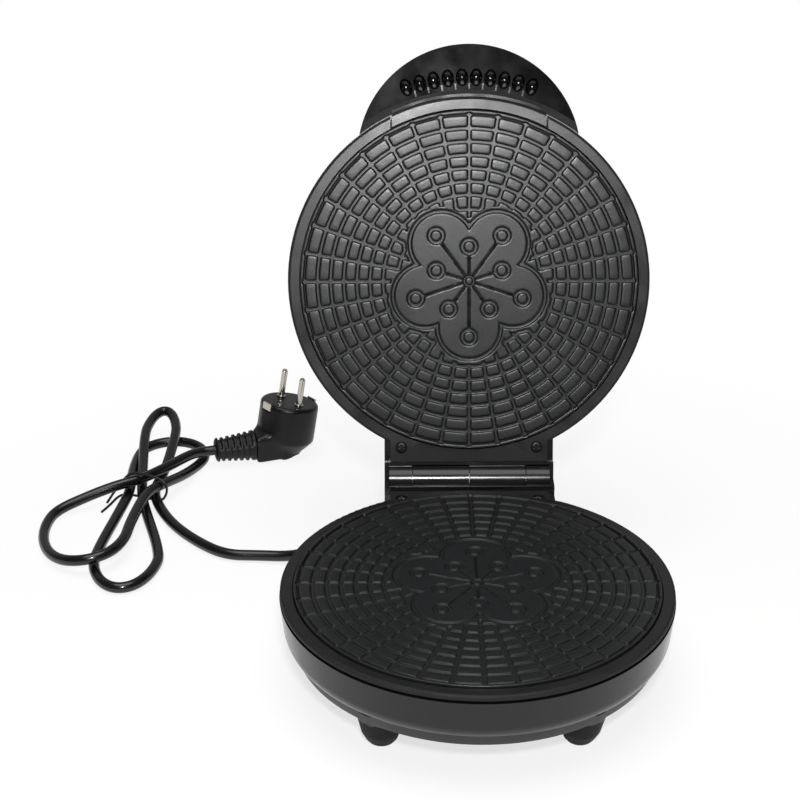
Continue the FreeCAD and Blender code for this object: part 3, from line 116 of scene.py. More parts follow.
class PlateSizes(bpy.types.PropertyGroup):
    """Sizes of the two patterned plates"""
    radius: length("Radius", "Outer radius of a plate", 97.8)
    top: length("Top", "Depth of a plate's face below the closing plane", 0.7)
    ledge: length("Ledge", "Depth of the seat below the closing plane", 7.0)
    back: length("Back", "Depth of a plate's back below the closing plane", 5.5)
    first_ring: length("First ring", "Radius of the outermost ring groove", 95.4)
    ring_pitch: length("Ring pitch", "Distance between ring grooves", 7.6)
    groove_width: length("Groove width", "Width of a groove at the face", 2.3)
    rim_groove: length("Rim groove", "Width of the outermost groove", 1.3)
    rim_lip: length("Rim lip", "Height of the rim above the face", 0.4)
    groove_depth: length("Groove depth", "Depth of a groove", 0.8)
    petal_radius: length("Petal radius", "Radius of a petal of the blossom", 18.5)
    petal_reach: length("Petal reach", "Distance of a petal's middle from the plate's middle", 27.0)


class CordSizes(bpy.types.PropertyGroup):
    """Sizes of the mains lead"""
    radius: length("Radius", "Radius of the lead's sheath", 3.3)
    total: length("Length", "Length of the lead from the gland to the plug", 1130.0)
    tie_radius: length("Tie radius", "Radius of the tie's coated wire", 0.8)


class Finishes(bpy.types.PropertyGroup):
    """Colours of the finishes"""
    housing: colour("Housing", "Satin plastic of the bowls", "#0f0f10")
    underside: colour("Underside", "Plastic of the covers and feet", "#0e0f12")
    trim: colour("Trim", "Fine textured plastic of the rings", "#101011")
    coating: colour("Coating", "Non-stick coating of the plates", "#141516")
    handle: colour("Handle", "Gloss plastic of the handle", "#060607")
    cord: colour("Cord", "Sheath of the lead", "#09090a")
    plug: colour("Plug", "Moulding of the plug", "#0b0b0c")
    nickel: colour("Nickel", "Plating of the pins", "#c4c1b4")


class StageSettings(bpy.types.PropertyGroup):
    """Camera and light"""
    lens: number("Lens", "Focal length on a 36 mm sensor", 85.88, "CAMERA")
    flash: number("Front light", "Power of the light by the camera", 12.0, "POWER")
    overhead: number("Overhead", "Power of the overhead light", 20.0, "POWER")
    room: number("Room", "Strength of the room's light", 0.12)
    wall: number("Wall", "Strength of the wall behind the object", 0.34)
    floor: colour("Floor", "Colour of the floor", "#f6f6f5")


GROUPS = {
    "cone_plates": PlateSizes,
    "cone_cord": CordSizes,
    "cone_finishes": Finishes,
    "cone_stage": StageSettings,
}


# Materials

def add(tree, kind, inputs=None, **settings):
    """Add a node, set its properties and fill its inputs with values or links."""
    node = tree.nodes.new(kind)
    for name, value in settings.items():
        setattr(node, name, value)
    for name, value in (inputs or {}).items():
        if isinstance(value, bpy.types.NodeSocket):
            tree.links.new(value, node.inputs[name])
        else:
            node.inputs[name].default_value = value
    return node


def shade(tint, factor):
    """A colour made lighter or darker."""
    return [min(1.0, share * factor) for share in tint[:3]] + [1.0]


def finish(name, tint, roughness, grain, depth, cloud=18.0, spread=0.05, mottle=0.18, **shader):
    """A material with a fine surface grain, and slow changes of tone and gloss over its surface.

    grain and cloud are the sizes of the two patterns in millimetres, and depth is the height of the grain.
    A real skin's grain is mostly finer, and is drawn at half a millimetre or more so that it shows.
    """
    material = bpy.data.materials.get(name)
    if material:
        return material
    material = bpy.data.materials.new(name)
    material.use_nodes = True
    tree = material.node_tree
    tree.nodes.clear()
    place = add(tree, "ShaderNodeTexCoord").outputs["Object"]
    fine = add(tree, "ShaderNodeTexNoise", {"Vector": place, "Scale": per(grain),
                                            "Detail": 2.0}).outputs["Fac"]
    slow = add(tree, "ShaderNodeTexNoise", {"Vector": place, "Scale": per(cloud),
                                            "Detail": 4.0}).outputs["Fac"]
    # Noise stays mostly between 0.3 and 0.7, and the product of two between 0.12 and 0.4.
    gloss = add(tree, "ShaderNodeMapRange", {"Value": slow, "From Min": 0.3, "From Max": 0.7,
                                             "To Min": roughness - spread, "To Max": roughness + spread})
    mixed = add(tree, "ShaderNodeMath", {0: fine, 1: slow}, operation="MULTIPLY").outputs[0]
    share = add(tree, "ShaderNodeMapRange", {"Value": mixed, "From Min": 0.12, "From Max": 0.4}).outputs[0]
    tone = add(tree, "ShaderNodeMix", {0: share, 6: shade(tint, 1 - mottle), 7: shade(tint, 1 + mottle)},
               data_type="RGBA").outputs[2]
    bumps = add(tree, "ShaderNodeBump", {"Height": fine, "Strength": 1.0, "Distance": depth * MM})
    inputs = {"Base Color": tone, "Roughness": gloss.outputs[0], "Normal": bumps.outputs[0]}
    inputs.update(shader)
    surface = add(tree, "ShaderNodeBsdfPrincipled", inputs)
    add(tree, "ShaderNodeOutputMaterial", {"Surface": surface.outputs[0]})
    return material


def satin_abs(context):
    """Moulded ABS with a satin skin: the bowls. It mirrors the pale floor softly."""
    tint = context.scene.cone_finishes.housing
    return finish("abs_moulded_satin_black", tint, 0.22, 0.9, 0.003,
                  **{"IOR": 1.53, "Specular IOR Level": 0.38})


def cover_abs(context):
    """Moulded ABS, a little duller and cooler than the bowls: the covers."""
    tint = context.scene.cone_finishes.underside
    return finish("abs_moulded_cover_black", tint, 0.48, 0.9, 0.006, **{"IOR": 1.53})


def textured_pbt(context):
    """PBT moulded in an eroded tool: a fine dry grain, drawn at 0.7 mm so that it shows."""
    tint = context.scene.cone_finishes.trim
    return finish("pbt_eroded_grain_black", tint, 0.31, 0.7, 0.02, spread=0.06, mottle=0.3,
                  **{"IOR": 1.55, "Specular IOR Level": 0.38})


def painted_shade_abs(context):
    """Rough ABS painted near black as shade: the rings' flanks and the floors of gaps."""
    tint = shade(context.scene.cone_finishes.trim, 0.35)
    return finish("abs_unpolished_black", tint, 0.7, 0.8, 0.03,
                  **{"IOR": 1.53, "Specular IOR Level": 0.38})


def foot_abs(context):
    """ABS with a drawn, unpolished flank: the feet, which hardly mirror the floor."""
    tint = context.scene.cone_finishes.underside
    return finish("abs_drawn_flank_black", tint, 0.6, 0.9, 0.02,
                  **{"IOR": 1.53, "Specular IOR Level": 0.14})


def gloss_abs(context):
    """ABS moulded in a polished tool: the handle. Sharp reflections with a hint of wipe marks."""
    tint = context.scene.cone_finishes.handle
    return finish("abs_polished_black", tint, 0.13, 2.0, 0.002, spread=0.04,
                  **{"IOR": 1.53, "Specular IOR Level": 0.34})


def painted_shade_coating(context):
    """The coating on the walls of the grooves: dulled, and painted darker as shade in the grooves."""
    tint = shade(context.scene.cone_finishes.coating, 0.4)
    return finish("aluminium_nonstick_browned", tint, 0.48, 0.9, 0.03,
                  **{"IOR": 1.45, "Specular IOR Level": 0.34})


def coated_aluminium(context):
    """Die-cast aluminium under a sprayed and baked non-stick coating.

    The spray leaves a sandy grain of about a millimetre with paler flecks, and a low sheen.
    """
    name = "aluminium_nonstick_coated"
    material = bpy.data.materials.get(name)
    if material:
        return material
    tint = context.scene.cone_finishes.coating
    material = bpy.data.materials.new(name)
    material.use_nodes = True
    tree = material.node_tree
    tree.nodes.clear()
    place = add(tree, "ShaderNodeTexCoord").outputs["Object"]
    sand = add(tree, "ShaderNodeTexNoise", {"Vector": place, "Scale": per(0.9), "Detail": 3.0,
                                            "Roughness": 0.6}).outputs["Fac"]
    fleck = add(tree, "ShaderNodeTexVoronoi", {"Vector": place, "Scale": per(1.3), "Randomness": 1.0})
    patch = add(tree, "ShaderNodeTexNoise", {"Vector": place, "Scale": per(26.0), "Detail": 3.0})
    spots = add(tree, "ShaderNodeMapRange", {"Value": fleck.outputs["Distance"], "From Min": 0.1,
                                             "From Max": 0.34, "To Min": 1.0, "To Max": 0.0}).outputs[0]
    grit = add(tree, "ShaderNodeMapRange", {"Value": sand, "From Min": 0.36, "From Max": 0.66}).outputs[0]
    tone = add(tree, "ShaderNodeMix", {0: grit, 6: shade(tint, 0.6), 7: shade(tint, 1.45)},
               data_type="RGBA").outputs[2]
    tone = add(tree, "ShaderNodeMix", {0: spots, 6: tone, 7: shade(tint, 1.9)}, data_type="RGBA").outputs[2]
    gloss = add(tree, "ShaderNodeMapRange", {"Value": patch.outputs["Fac"], "From Min": 0.3,
                                             "From Max": 0.7, "To Min": 0.29, "To Max": 0.36}).outputs[0]
    grain = add(tree, "ShaderNodeBump", {"Height": sand, "Strength": 1.0, "Distance": 0.05 * MM})
    surface = add(tree, "ShaderNodeBsdfPrincipled", {"Base Color": tone, "Roughness": gloss, "IOR": 1.45,
                                                     "Normal": grain.outputs[0]})
    add(tree, "ShaderNodeOutputMaterial", {"Surface": surface.outputs[0]})
    return material


def soft_pvc(context):
    """Extruded PVC sheath: smooth and shiny."""
    tint = context.scene.cone_finishes.cord
    return finish("pvc_extruded_black", tint, 0.24, 1.6, 0.004, cloud=40.0, **{"IOR": 1.53})


def moulded_pvc(context):
    """PVC moulded over the plug: satin, with a fine skin."""
    tint = context.scene.cone_finishes.plug
    return finish("pvc_moulded_black", tint, 0.32, 0.8, 0.008,
                  **{"IOR": 1.53, "Specular IOR Level": 0.27})


def boot_pvc(context):
    """Softer PVC of the ribbed boot: duller than the plug."""
    tint = context.scene.cone_finishes.plug
    return finish("pvc_soft_boot_black", tint, 0.48, 0.8, 0.008,
                  **{"IOR": 1.53, "Specular IOR Level": 0.3})


def nickel_plate(context):
    """Brass with bright nickel plating, a little yellow."""
    tint = context.scene.cone_finishes.nickel
    return finish("brass_nickel_plated", tint, 0.16, 1.2, 0.002, mottle=0.06, Metallic=1.0)


# Finishes of pieces that lie inside or behind: sRGB colour, roughness, metallic, and the size and height
# of the grain in millimetres.
PLAIN_FINISHES = {
    # Bright and faintly blue
    "steel_zinc_plated": ("#a7aaac", 0.30, 1.0, 0.6, 0.004),
    # Near black, with a soft metal sheen
    "steel_black_oxide": ("#1c1c1d", 0.38, 0.6, 0.6, 0.006),
    # Pale grey and softly mirroring
    "aluminium_rolled": ("#c9cbcc", 0.34, 1.0, 0.8, 0.005),
    # Brownish grey from the heat
    "steel_oxidised_tube": ("#5d5a56", 0.45, 1.0, 0.8, 0.008),
    # Cream and fibrous, without gloss
    "glass_fibre_sleeve": ("#d9d5c4", 0.75, 0.0, 0.5, 0.05),
    # Yellow and bright
    "brass_plain": ("#c8a861", 0.30, 1.0, 0.6, 0.004),
    # Milky white, half matt
    "polyamide_white": ("#dcdbd4", 0.45, 0.0, 0.8, 0.006),
    # Warm grey and dull
    "silicone_rubber": ("#c3bdb3", 0.55, 0.0, 0.9, 0.008),
    # Deep red with sharp reflections
    "polycarbonate_red": ("#8f1712", 0.12, 0.0, 2.0, 0.002),
    # Pale and very smooth
    "glass_clear": ("#e6dcc6", 0.05, 0.0, 3.0, 0.001),
    # Dark brown, half matt
    "phenolic_brown": ("#3a2a20", 0.42, 0.0, 0.7, 0.01),
    # Black with a lacquer's sheen
    "lacquered_wire": ("#141414", 0.36, 0.0, 0.6, 0.006),
}


def plain(name):
    """One of the finishes of the inner pieces."""
    code, roughness, metallic, grain, depth = PLAIN_FINISHES[name]
    return finish(name, linear(code), roughness, grain, depth, mottle=0.1, Metallic=metallic)


# The CAD nodes that keep their own mesh.
NODE_FINISHES = {
    "steel_zinc_plated": ("lower_plate_screws", "lower_shield_screws", "terminal_screws", "hinge_pins",
                          "cord_clamp_screws", "upper_plate_screws", "upper_shield_screws", "handle_screws",
                          "lower_shield_posts", "upper_shield_posts"),
    "aluminium_rolled": ("lower_heat_shield", "upper_heat_shield", "lower_element_clamps",
                         "upper_element_clamps"),
    "steel_oxidised_tube": ("lower_heating_element", "upper_heating_element"),
    "glass_fibre_sleeve": ("thermal_fuse",),
    "brass_plain": ("earth_tag",),
    "polyamide_white": ("terminal_block", "cord_clamp"),
    "silicone_rubber": ("hinge_lead_sleeve",),
    "polycarbonate_red": ("indicator_lenses",),
    "glass_clear": ("indicator_lamps",),
    "phenolic_brown": ("lower_thermostat", "upper_thermostat"),
}


# Mesh helpers

def new_object(name, mesh, material, body, slot, *nodes):
    """Link a mesh or curve as a piece that rides on a body and stands for CAD nodes."""
    obj = bpy.data.objects.new(name, mesh)
    bpy.context.scene.collection.objects.link(obj)
    mesh.materials.clear()
    mesh.materials.append(material)
    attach(obj, body)
    if nodes:
        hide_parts(*nodes)
    return obj


def mesh_from(name, points, faces, matrix=None):
    """A smooth shaded mesh of points in millimetres."""
    mesh = bpy.data.meshes.new(name)
    mesh.from_pydata([Vector(p) * MM for p in points], [], faces)
    if matrix is not None:
        mesh.transform(matrix)
    mesh.validate()
    mesh.shade_smooth()
    return mesh


def eased(node, width, angle=28, sharp=50):
    """A copy of a CAD node's mesh with rounded edges.

    width is in millimetres. Edges that turn by more than angle degrees are rounded, and those that still
    turn by more than sharp degrees after that stay crisp.
    """
    work = bmesh.new()
    work.from_mesh(frame["nodes"][node].data)
    bmesh.ops.remove_doubles(work, verts=work.verts, dist=2e-6)
    bmesh.ops.dissolve_limit(work, angle_limit=math.radians(0.25), verts=work.verts, edges=work.edges)
    edges = [e for e in work.edges if len(e.link_faces) == 2 and e.calc_face_angle(0) > math.radians(angle)]
    bmesh.ops.bevel(work, geom=edges, offset=width * MM, segments=2, profile=0.5, affect="EDGES",
                    clamp_overlap=True, loop_slide=True)
    mesh = bpy.data.meshes.new(node + "_eased")
    work.to_mesh(mesh)
    work.free()
    mesh.shade_smooth()
    mesh.set_sharp_from_angle(angle=math.radians(sharp))
    return mesh


def eased_piece(node, material, slot, width, **options):
    """A moulded piece with rounded edges in place of its CAD node."""
    body = body_of(frame["nodes"][node])[0]
    obj = new_object(node + "_moulded", eased(node, width, **options), material, body, slot, node)
    flat = obj.modifiers.new("even_shading", "WEIGHTED_NORMAL")
    flat.keep_sharp = True
    return obj


def places_in(half, mesh):
    """A mesh's points as they lie in their half, in millimetres."""
    flat = HALF[half].inverted()
    return [flat @ point.co / MM for point in mesh.vertices]


def repaint(obj, material, half, wanted):
    """Give another material to the faces that pass a test on their mean radius and height in their half."""
    mesh = obj.data
    mesh.materials.append(material)
    places = places_in(half, mesh)
    for face in mesh.polygons:
        corners = [places[index] for index in face.vertices]
        reach = sum(corner.xy.length for corner in corners) / len(corners)
        height = sum(corner.z for corner in corners) / len(corners)
        if wanted(reach, height):
            face.material_index = len(mesh.materials) - 1


# Plates

# The pattern, in millimetres. Half widths are those of a groove.
PETALS = 5
SPOKES = 36
SPOKE = 2 * math.pi / SPOKES
RINGS = 6                   # ring grooves inside the rim's
BLOOM_FILL = 14.0           # radius within which no petal has an edge
GRID_START = 36.0           # radius at which the spokes start
GRID_GAP = 2.8              # from the blossom's edge to the spokes
NOTCHES = (90, 20, -50, 160, -130)     # degrees, where the grid reaches in between two petals
NOTCH_DROP = 0.8            # by which a notch's arc lies inside the next ring
NOTCH_GAP = 2.2             # from the blossom's edge to that arc
NOTCH_EDGE = 3.2            # from the blossom's edge to the groove along it
DOTS = ((32.5, 0.0), (20.0, math.pi / PETALS))     # reach of the small rings, and their turn from a petal
DOT_RADIUS, DOT_HALF = 4.0, 1.2
STEM_START, STEM_SHORT, STEM_HALF = 4.4, 4.8, 0.6
HUB_RADIUS, HUB_HALF = 2.75, 0.85
# Widths over which two edges run into each other.
PETAL_BLEND, CROSS_BLEND, NOTCH_BLEND, STEM_BLEND = 1.6, 1.1, 1.0, 0.6
FAR = 99.0
# Distances from a groove's edge, in millimetres.
SHOULDER_TOP = 0.9
SHOULDER_SHARE = 0.12       # of the depth, by which the shoulder falls before the wall starts
WALL_TOP, WALL_FOOT = 0.1, -0.4
# Band of the groove field whose wall faces get painted shade.
PAINTED_SHADE_BAND = (-0.55, 0.2)
# How far a point may lie from a wall's line and still move onto it, and the least slope of the field there.
SNAP, SNAP_SLOPE = 0.2, 0.5
# The plate's outer edge and the seat at its back, in millimetres.
EDGE_DROPS = (0.3, 0.09)
SEAT_EDGE, SEAT_WIDTH = 0.4, 11.5


def soft_min(a, b, width):
    """The lesser of two distances, rounded where they meet."""
    share = np.clip(0.5 + 0.5 * (b - a) / width, 0, 1)
    return b + (a - b) * share - width * share * (1 - share)


def to_segment(x, y, angle, start, end):
    """Distance to a straight run that leaves the middle at an angle."""
    along = x * math.cos(angle) + y * math.sin(angle)
    across = -x * math.sin(angle) + y * math.cos(angle)
    return np.hypot(across, along - np.clip(along, start, end))


def groove_field(sizes, x, y):
    """Signed distance to the edge of the nearest groove of the pattern, negative inside, in millimetres."""
    half = sizes.groove_width / MM / 2
    first, pitch = sizes.first_ring / MM, sizes.ring_pitch / MM
    reach, petal = sizes.petal_reach / MM, sizes.petal_radius / MM
    radius, angle = np.hypot(x, y), np.arctan2(y, x)
    turns = [math.radians(-90 + 360 / PETALS * n) for n in range(PETALS)]
    bloom = None
    for turn in turns:
        lobe = np.hypot(x - reach * math.cos(turn), y - reach * math.sin(turn)) - petal
        bloom = lobe if bloom is None else soft_min(bloom, lobe, PETAL_BLEND)
    bloom = np.minimum(bloom, radius - BLOOM_FILL)
    step = np.clip(np.round((first - radius) / pitch), 0, RINGS)
    rings = np.abs(radius - (first - pitch * step)) - np.where(step > 0, half, sizes.rim_groove / MM / 2)
    turn = angle - np.round(angle / SPOKE) * SPOKE
    spokes = np.maximum.reduce([radius * np.abs(np.sin(turn)) - half, radius - first - half,
                                GRID_START - radius, GRID_GAP - bloom])
    field = soft_min(rings, spokes, CROSS_BLEND)
    inner = first - (RINGS + 1) * pitch - NOTCH_DROP
    for middle in NOTCHES:
        off = angle - math.radians(middle)
        side = np.abs(radius * np.sin(off)) - (radius * math.sin(SPOKE) + half)
        side = np.where(np.cos(off) > 0, side, FAR)
        arc = np.maximum.reduce([np.abs(radius - inner) - half, NOTCH_GAP - bloom, side])
        rim = np.maximum.reduce([np.abs(bloom - NOTCH_EDGE) - half, inner - half - radius,
                                 radius - inner - pitch, side])
        field = soft_min(field, np.minimum(arc, rim), NOTCH_BLEND)
    field = np.minimum(field, np.abs(bloom) - half)
    for turn in turns:
        for place, aside in DOTS:
            heading = turn + aside
            dot = np.hypot(x - place * math.cos(heading), y - place * math.sin(heading))
            dot = np.abs(dot - DOT_RADIUS) - DOT_HALF
            stem = to_segment(x, y, heading, STEM_START, place - STEM_SHORT) - STEM_HALF
            field = np.minimum(field, soft_min(dot, stem, STEM_BLEND))
    return np.minimum(field, np.abs(radius - HUB_RADIUS) - HUB_HALF)


def relief(value, depth, lip):
    """Drop below the face at a distance from a groove's edge: a shoulder, a steep wall and a flat floor."""
    shoulder = np.clip((SHOULDER_TOP - value) / (SHOULDER_TOP - WALL_TOP), 0, 1)
    wall = np.clip((WALL_TOP - value) / (WALL_TOP - WALL_FOOT), 0, 1)
    upper = SHOULDER_SHARE * depth
    return upper * shoulder * shoulder - lip + (depth - upper + lip) * wall * wall * (3 - 2 * wall)


def net_rings(sizes):
    """Radius and angles of each ring of net points, which lie close together where grooves run."""
    outer, first, pitch = sizes.radius / MM, sizes.first_ring / MM, sizes.ring_pitch / MM
    fine = [0.25, 0.5, 0.75, 1.1, 1.55]
    near = [0.4, 0.75, 1.0, 1.25, 1.6, 2.05]
    radii = [outer, outer - EDGE_DROPS[1], outer - EDGE_DROPS[0]]
    radii += [first + d for d in fine[::-1]] + [first] + [first - d for d in fine]
    for ring in range(1, RINGS + 1):
        middle = first - pitch * ring
        radii += list(np.linspace(radii[-1], middle + near[-1], 4)[1:-1])
        radii += [middle + d for d in near[::-1]] + [middle] + [middle - d for d in near]
    rings = []
    for radius in radii:
        sides = np.arcsin(np.array(near) / radius)
        between = np.linspace(sides[-1], SPOKE - sides[-1], 5)[1:-1]
        part = np.concatenate([[0.0], sides, between, SPOKE - sides[::-1]])
        rings.append((radius, np.concatenate([part + SPOKE * n for n in range(SPOKES)])))
    # Inside the grid the net is even, with fewer points to a ring towards the middle.
    count, apart, closest = 720, 0.4, 0.24
    for radius in np.arange(radii[-1] - apart, 0.3, -apart):
        while count > 24 and 2 * math.pi * radius / count < closest:
            count //= 2
        rings.append((radius, np.arange(count) * 2 * math.pi / count))
    return rings


def stitch(start, outer, inner):
    """Faces between two rings of points that follow each other, each given by its angles."""
    n, m = len(outer), len(inner)
    below = start + n
    if n == m:
        return [(start + j, start + (j + 1) % n, below + (j + 1) % n, below + j) for j in range(n)]
    faces = []
    a, b = list(outer) + [2 * math.pi], list(inner) + [2 * math.pi]
    i = j = 0
    while i < n or j < m:
        if j == m or (i < n and a[i + 1] <= b[j + 1]):
            faces.append((start + i % n, start + (i + 1) % n, below + j % m))
            i += 1
        else:
            faces.append((start + i % n, below + (j + 1) % m, below + j))
            j += 1
    return faces


def plate_mesh(sizes, name, matrix):
    """A plate whose face is a height field on a net that follows the grooves, and the faces of their walls.

    The walls are given by the numbers of their faces.
    """
    rings = net_rings(sizes)
    outer, top, first = sizes.radius / MM, -sizes.top / MM, sizes.first_ring / MM
    count = len(rings[0][1])
    xs = np.concatenate([r * np.cos(a) for r, a in rings])
    ys = np.concatenate([r * np.sin(a) for r, a in rings])
    # Points close to the top or the foot of a wall move onto it, so that the walls run clean.
    for level in (WALL_TOP, WALL_FOOT):
        value = groove_field(sizes, xs, ys)
        e = 0.02
        gx = (groove_field(sizes, xs + e, ys) - groove_field(sizes, xs - e, ys)) / (2 * e)
        gy = (groove_field(sizes, xs, ys + e) - groove_field(sizes, xs, ys - e)) / (2 * e)
        inside = np.hypot(xs, ys) < first + 0.8
        near_line = (np.abs(value - level) < SNAP) & inside & (np.hypot(gx, gy) > SNAP_SLOPE)
        shift = np.where(near_line, (value - level) / np.maximum(gx * gx + gy * gy, SNAP_SLOPE ** 2), 0.0)
        xs, ys = xs - shift * gx, ys - shift * gy
    lip = np.where(np.hypot(xs, ys) > first, sizes.rim_lip / MM, 0.0)
    value = groove_field(sizes, xs, ys)
    zs = top - relief(value, sizes.groove_depth / MM, lip)
    zs[:count] -= EDGE_DROPS[0]
    zs[count:2 * count] -= EDGE_DROPS[1]
    points = np.stack([xs, ys, zs], 1)
    faces = []
    start = 0
    for (_, a), (_, b) in zip(rings, rings[1:]):
        faces += stitch(start, a, b)
        start += len(a)
    faces.append(tuple(range(start, start + len(rings[-1][1]))))
    total = len(points)
    rim = points[:count]
    seat, back = -sizes.ledge / MM, -sizes.back / MM
    edge, step = 1 - SEAT_EDGE / outer, 1 - SEAT_WIDTH / outer
    levels = ((1, seat + SEAT_EDGE), (edge, seat), (step, seat), (step, back))
    lower = [np.column_stack([rim[:, 0] * share, rim[:, 1] * share, np.full(count, level)])
             for share, level in levels]
    points = np.concatenate([points] + lower)
    before = 0
    for row in range(len(levels)):
        after = total + row * count
        faces += [(before + j, after + j, after + (j + 1) % count, before + (j + 1) % count)
                  for j in range(count)]
        before = after
    faces.append(tuple(range(before + count - 1, before - 1, -1)))
    mesh = mesh_from(name, points.tolist(), faces, matrix)
    # Faces on the walls of the grooves, which get the painted shade.
    walls = []
    for face in mesh.polygons:
        corners = list(face.vertices)
        if max(corners) < total and PAINTED_SHADE_BAND[0] < value[corners].mean() < PAINTED_SHADE_BAND[1]:
            walls.append(face.index)
    return mesh, walls


class CONEMAKER_OT_plates(bpy.types.Operator):
    """Build the two patterned plates"""
    bl_idname = "conemaker.plates"
    bl_label = "Plates"

    def execute(self, context):
        sizes = context.scene.cone_plates
        material = coated_aluminium(context)
        for half, node in (("base", "lower_plate"), ("lid", "upper_plate")):
            mesh, walls = plate_mesh(sizes, node + "_face", HALF[half])
            new_object(node + "_cast", mesh, material, half, "plate", node)
            # The walls of the grooves are painted darker as shade.
            mesh.materials.append(painted_shade_coating(context))
            for index in walls:
                mesh.polygons[index].material_index = 1
            mesh.set_sharp_from_angle(angle=math.radians(60))
        return {"FINISHED"}


# Housing and handle

# Places on the mouldings: radius and height in their half, in millimetres.
GAP_REACH, GAP_FLOOR = 107.0, -3.5
FLANK_REACH, FLANK_FOOT, FLANK_TOP = 103.4, -6.0, -0.05
FOOT_HEAD = -37.4
STRIP_REACH, STRIP_FOOT = 104.5, -4.4
CHANNEL_INNER, CHANNEL_OUTER, CHANNEL_FOOT, CHANNEL_TOP = 104.2, 109.5, -3.6, -2.9
SLOPE_REACH, SLOPE_TOP = 109.7, -3.5


def painted_shade_on_ring(reach, height):
    """Whether a place on a ring lies on its outer flank or on the floor of a gap, where shade is painted.
    """
    in_gap = height < GAP_FLOOR and reach < GAP_REACH
    return in_gap or (reach > FLANK_REACH and FLANK_FOOT < height < FLANK_TOP)


def on_strip(reach, height):
    """Whether a place on the handle is the strip that closes the ring's front gap."""
    return reach < STRIP_REACH and height > STRIP_FOOT


def in_channel(reach, height):
    """Whether a place on the handle is the floor of the channel beyond the strip."""
    return CHANNEL_INNER < reach < CHANNEL_OUTER and CHANNEL_FOOT < height < CHANNEL_TOP


class CONEMAKER_OT_housing(bpy.types.Operator):
    """Build the bowls, rings and covers"""
    bl_idname = "conemaker.housing"
    bl_label = "Housing"

    def execute(self, context):
        for node in ("base_shell", "lid_shell"):
            eased_piece(node, satin_abs(context), "housing", 0.5)
        for node in ("base_ring", "lid_ring"):
            ring = eased_piece(node, textured_pbt(context), "trim", 0.35, angle=45)
            # The rings' outer flanks and the floors of their gaps get painted shade.
            repaint(ring, painted_shade_abs(context), node.split("_")[0], painted_shade_on_ring)
        bottom = eased_piece("bottom_cover", cover_abs(context), "underside", 0.5)
        repaint(bottom, foot_abs(context), "base", lambda reach, height: height < FOOT_HEAD)
        eased_piece("lid_cover", cover_abs(context), "underside", 0.5)
        return {"FINISHED"}


class CONEMAKER_OT_handle(bpy.types.Operator):
    """Build the two mouldings of the handle"""
    bl_idname = "conemaker.handle"
    bl_label = "Handle"

    def execute(self, context):
        lower = eased_piece("handle_lower", gloss_abs(context), "handle", 0.45, sharp=35)
        eased_piece("handle_upper", gloss_abs(context), "handle", 0.45, sharp=35)
        # The strip has the ring's grain, and the channel beyond it a floor painted dark as shade.
        repaint(lower, textured_pbt(context), "lid", on_strip)
        repaint(lower, painted_shade_abs(context), "lid", in_channel)
        # The slope of the handle starts at a crease.
        places = places_in("lid", lower.data)
        on_crease = [abs(place.xy.length - SLOPE_REACH) < 0.15 and abs(place.z - SLOPE_TOP) < 0.1
                     for place in places]
        for edge in lower.data.edges:
            if all(on_crease[index] for index in edge.vertices):
                edge.use_edge_sharp = True
        return {"FINISHED"}


# Screws and wires

PANEL_SPOTS = ((-39.6, -97.5), (39.6, -97.5))
COVER_REACH = 93.5
COVER_SPOTS = tuple((COVER_REACH * math.cos(math.radians(turn)), COVER_REACH * math.sin(math.radians(turn)))
                    for turn in (90, 210, 330))
# Screws that show: half, places, height under the head, head radius, head height, length, and which way the
# head faces.
SCREWS = {
    "lid_ring_screws": ("lid", PANEL_SPOTS, -3.1, 3.2, 1.3, 12.0, 1),
    "base_ring_screws": ("base", PANEL_SPOTS, -4.4, 3.2, 1.3, 12.0, 1),
    "lid_cover_screws": ("lid", COVER_SPOTS, -34.4, 3.0, 1.8, 13.0, -1),
    "bottom_cover_screws": ("base", COVER_SPOTS, -32.3, 3.0, 1.8, 13.0, -1),
}


def screw_mesh(name, half, spots, seat, head, thick, reach, facing):
    """Pan head screws with a cross recess."""
    count, shank = 48, 1.5
    recess_reach, recess_half = 1.8, 0.4
    dome, recess = 0.4, 0.6
    angles = np.arange(count) * 2 * math.pi / count
    rows = []
    for radius in head * np.arange(1, 17) / 16:
        x, y = np.abs(radius * np.cos(angles)), np.abs(radius * np.sin(angles))
        bars = np.minimum(np.maximum(x - recess_reach, y - recess_half),
                          np.maximum(x - recess_half, y - recess_reach))
        pit = np.clip((0.1 - bars) / 0.3, 0, 1)
        rows.append((radius, thick * (1 - dome * (radius / head) ** 4 - recess * pit)))
    rows += [(head, np.zeros(count)), (shank, np.zeros(count)), (shank, np.full(count, -reach))]
    points, faces = [], []
    for x, y in spots:
        start = len(points)
        for radius, height in rows:
            points += zip(x + radius * np.cos(angles), y + radius * np.sin(angles), seat + facing * height)
        for row in range(len(rows) - 1):
            faces += stitch(start + row * count, angles, angles)
        faces += [tuple(range(start, start + count)), tuple(range(len(points) - count, len(points)))]
    mesh = mesh_from(name, points, faces, HALF[half])
    work = bmesh.new()
    work.from_mesh(mesh)
    bmesh.ops.recalc_face_normals(work, faces=work.faces)
    work.to_mesh(mesh)
    work.free()
    mesh.set_sharp_from_angle(angle=math.radians(40))
    return mesh


# Radii of the wires, and heights of the element's ends and the terminals, in millimetres.
WIRE, CORE, SHEATH = 1.1, 0.9, 3.3
ELEMENT_END, TERMINAL = -10.4, -30.9


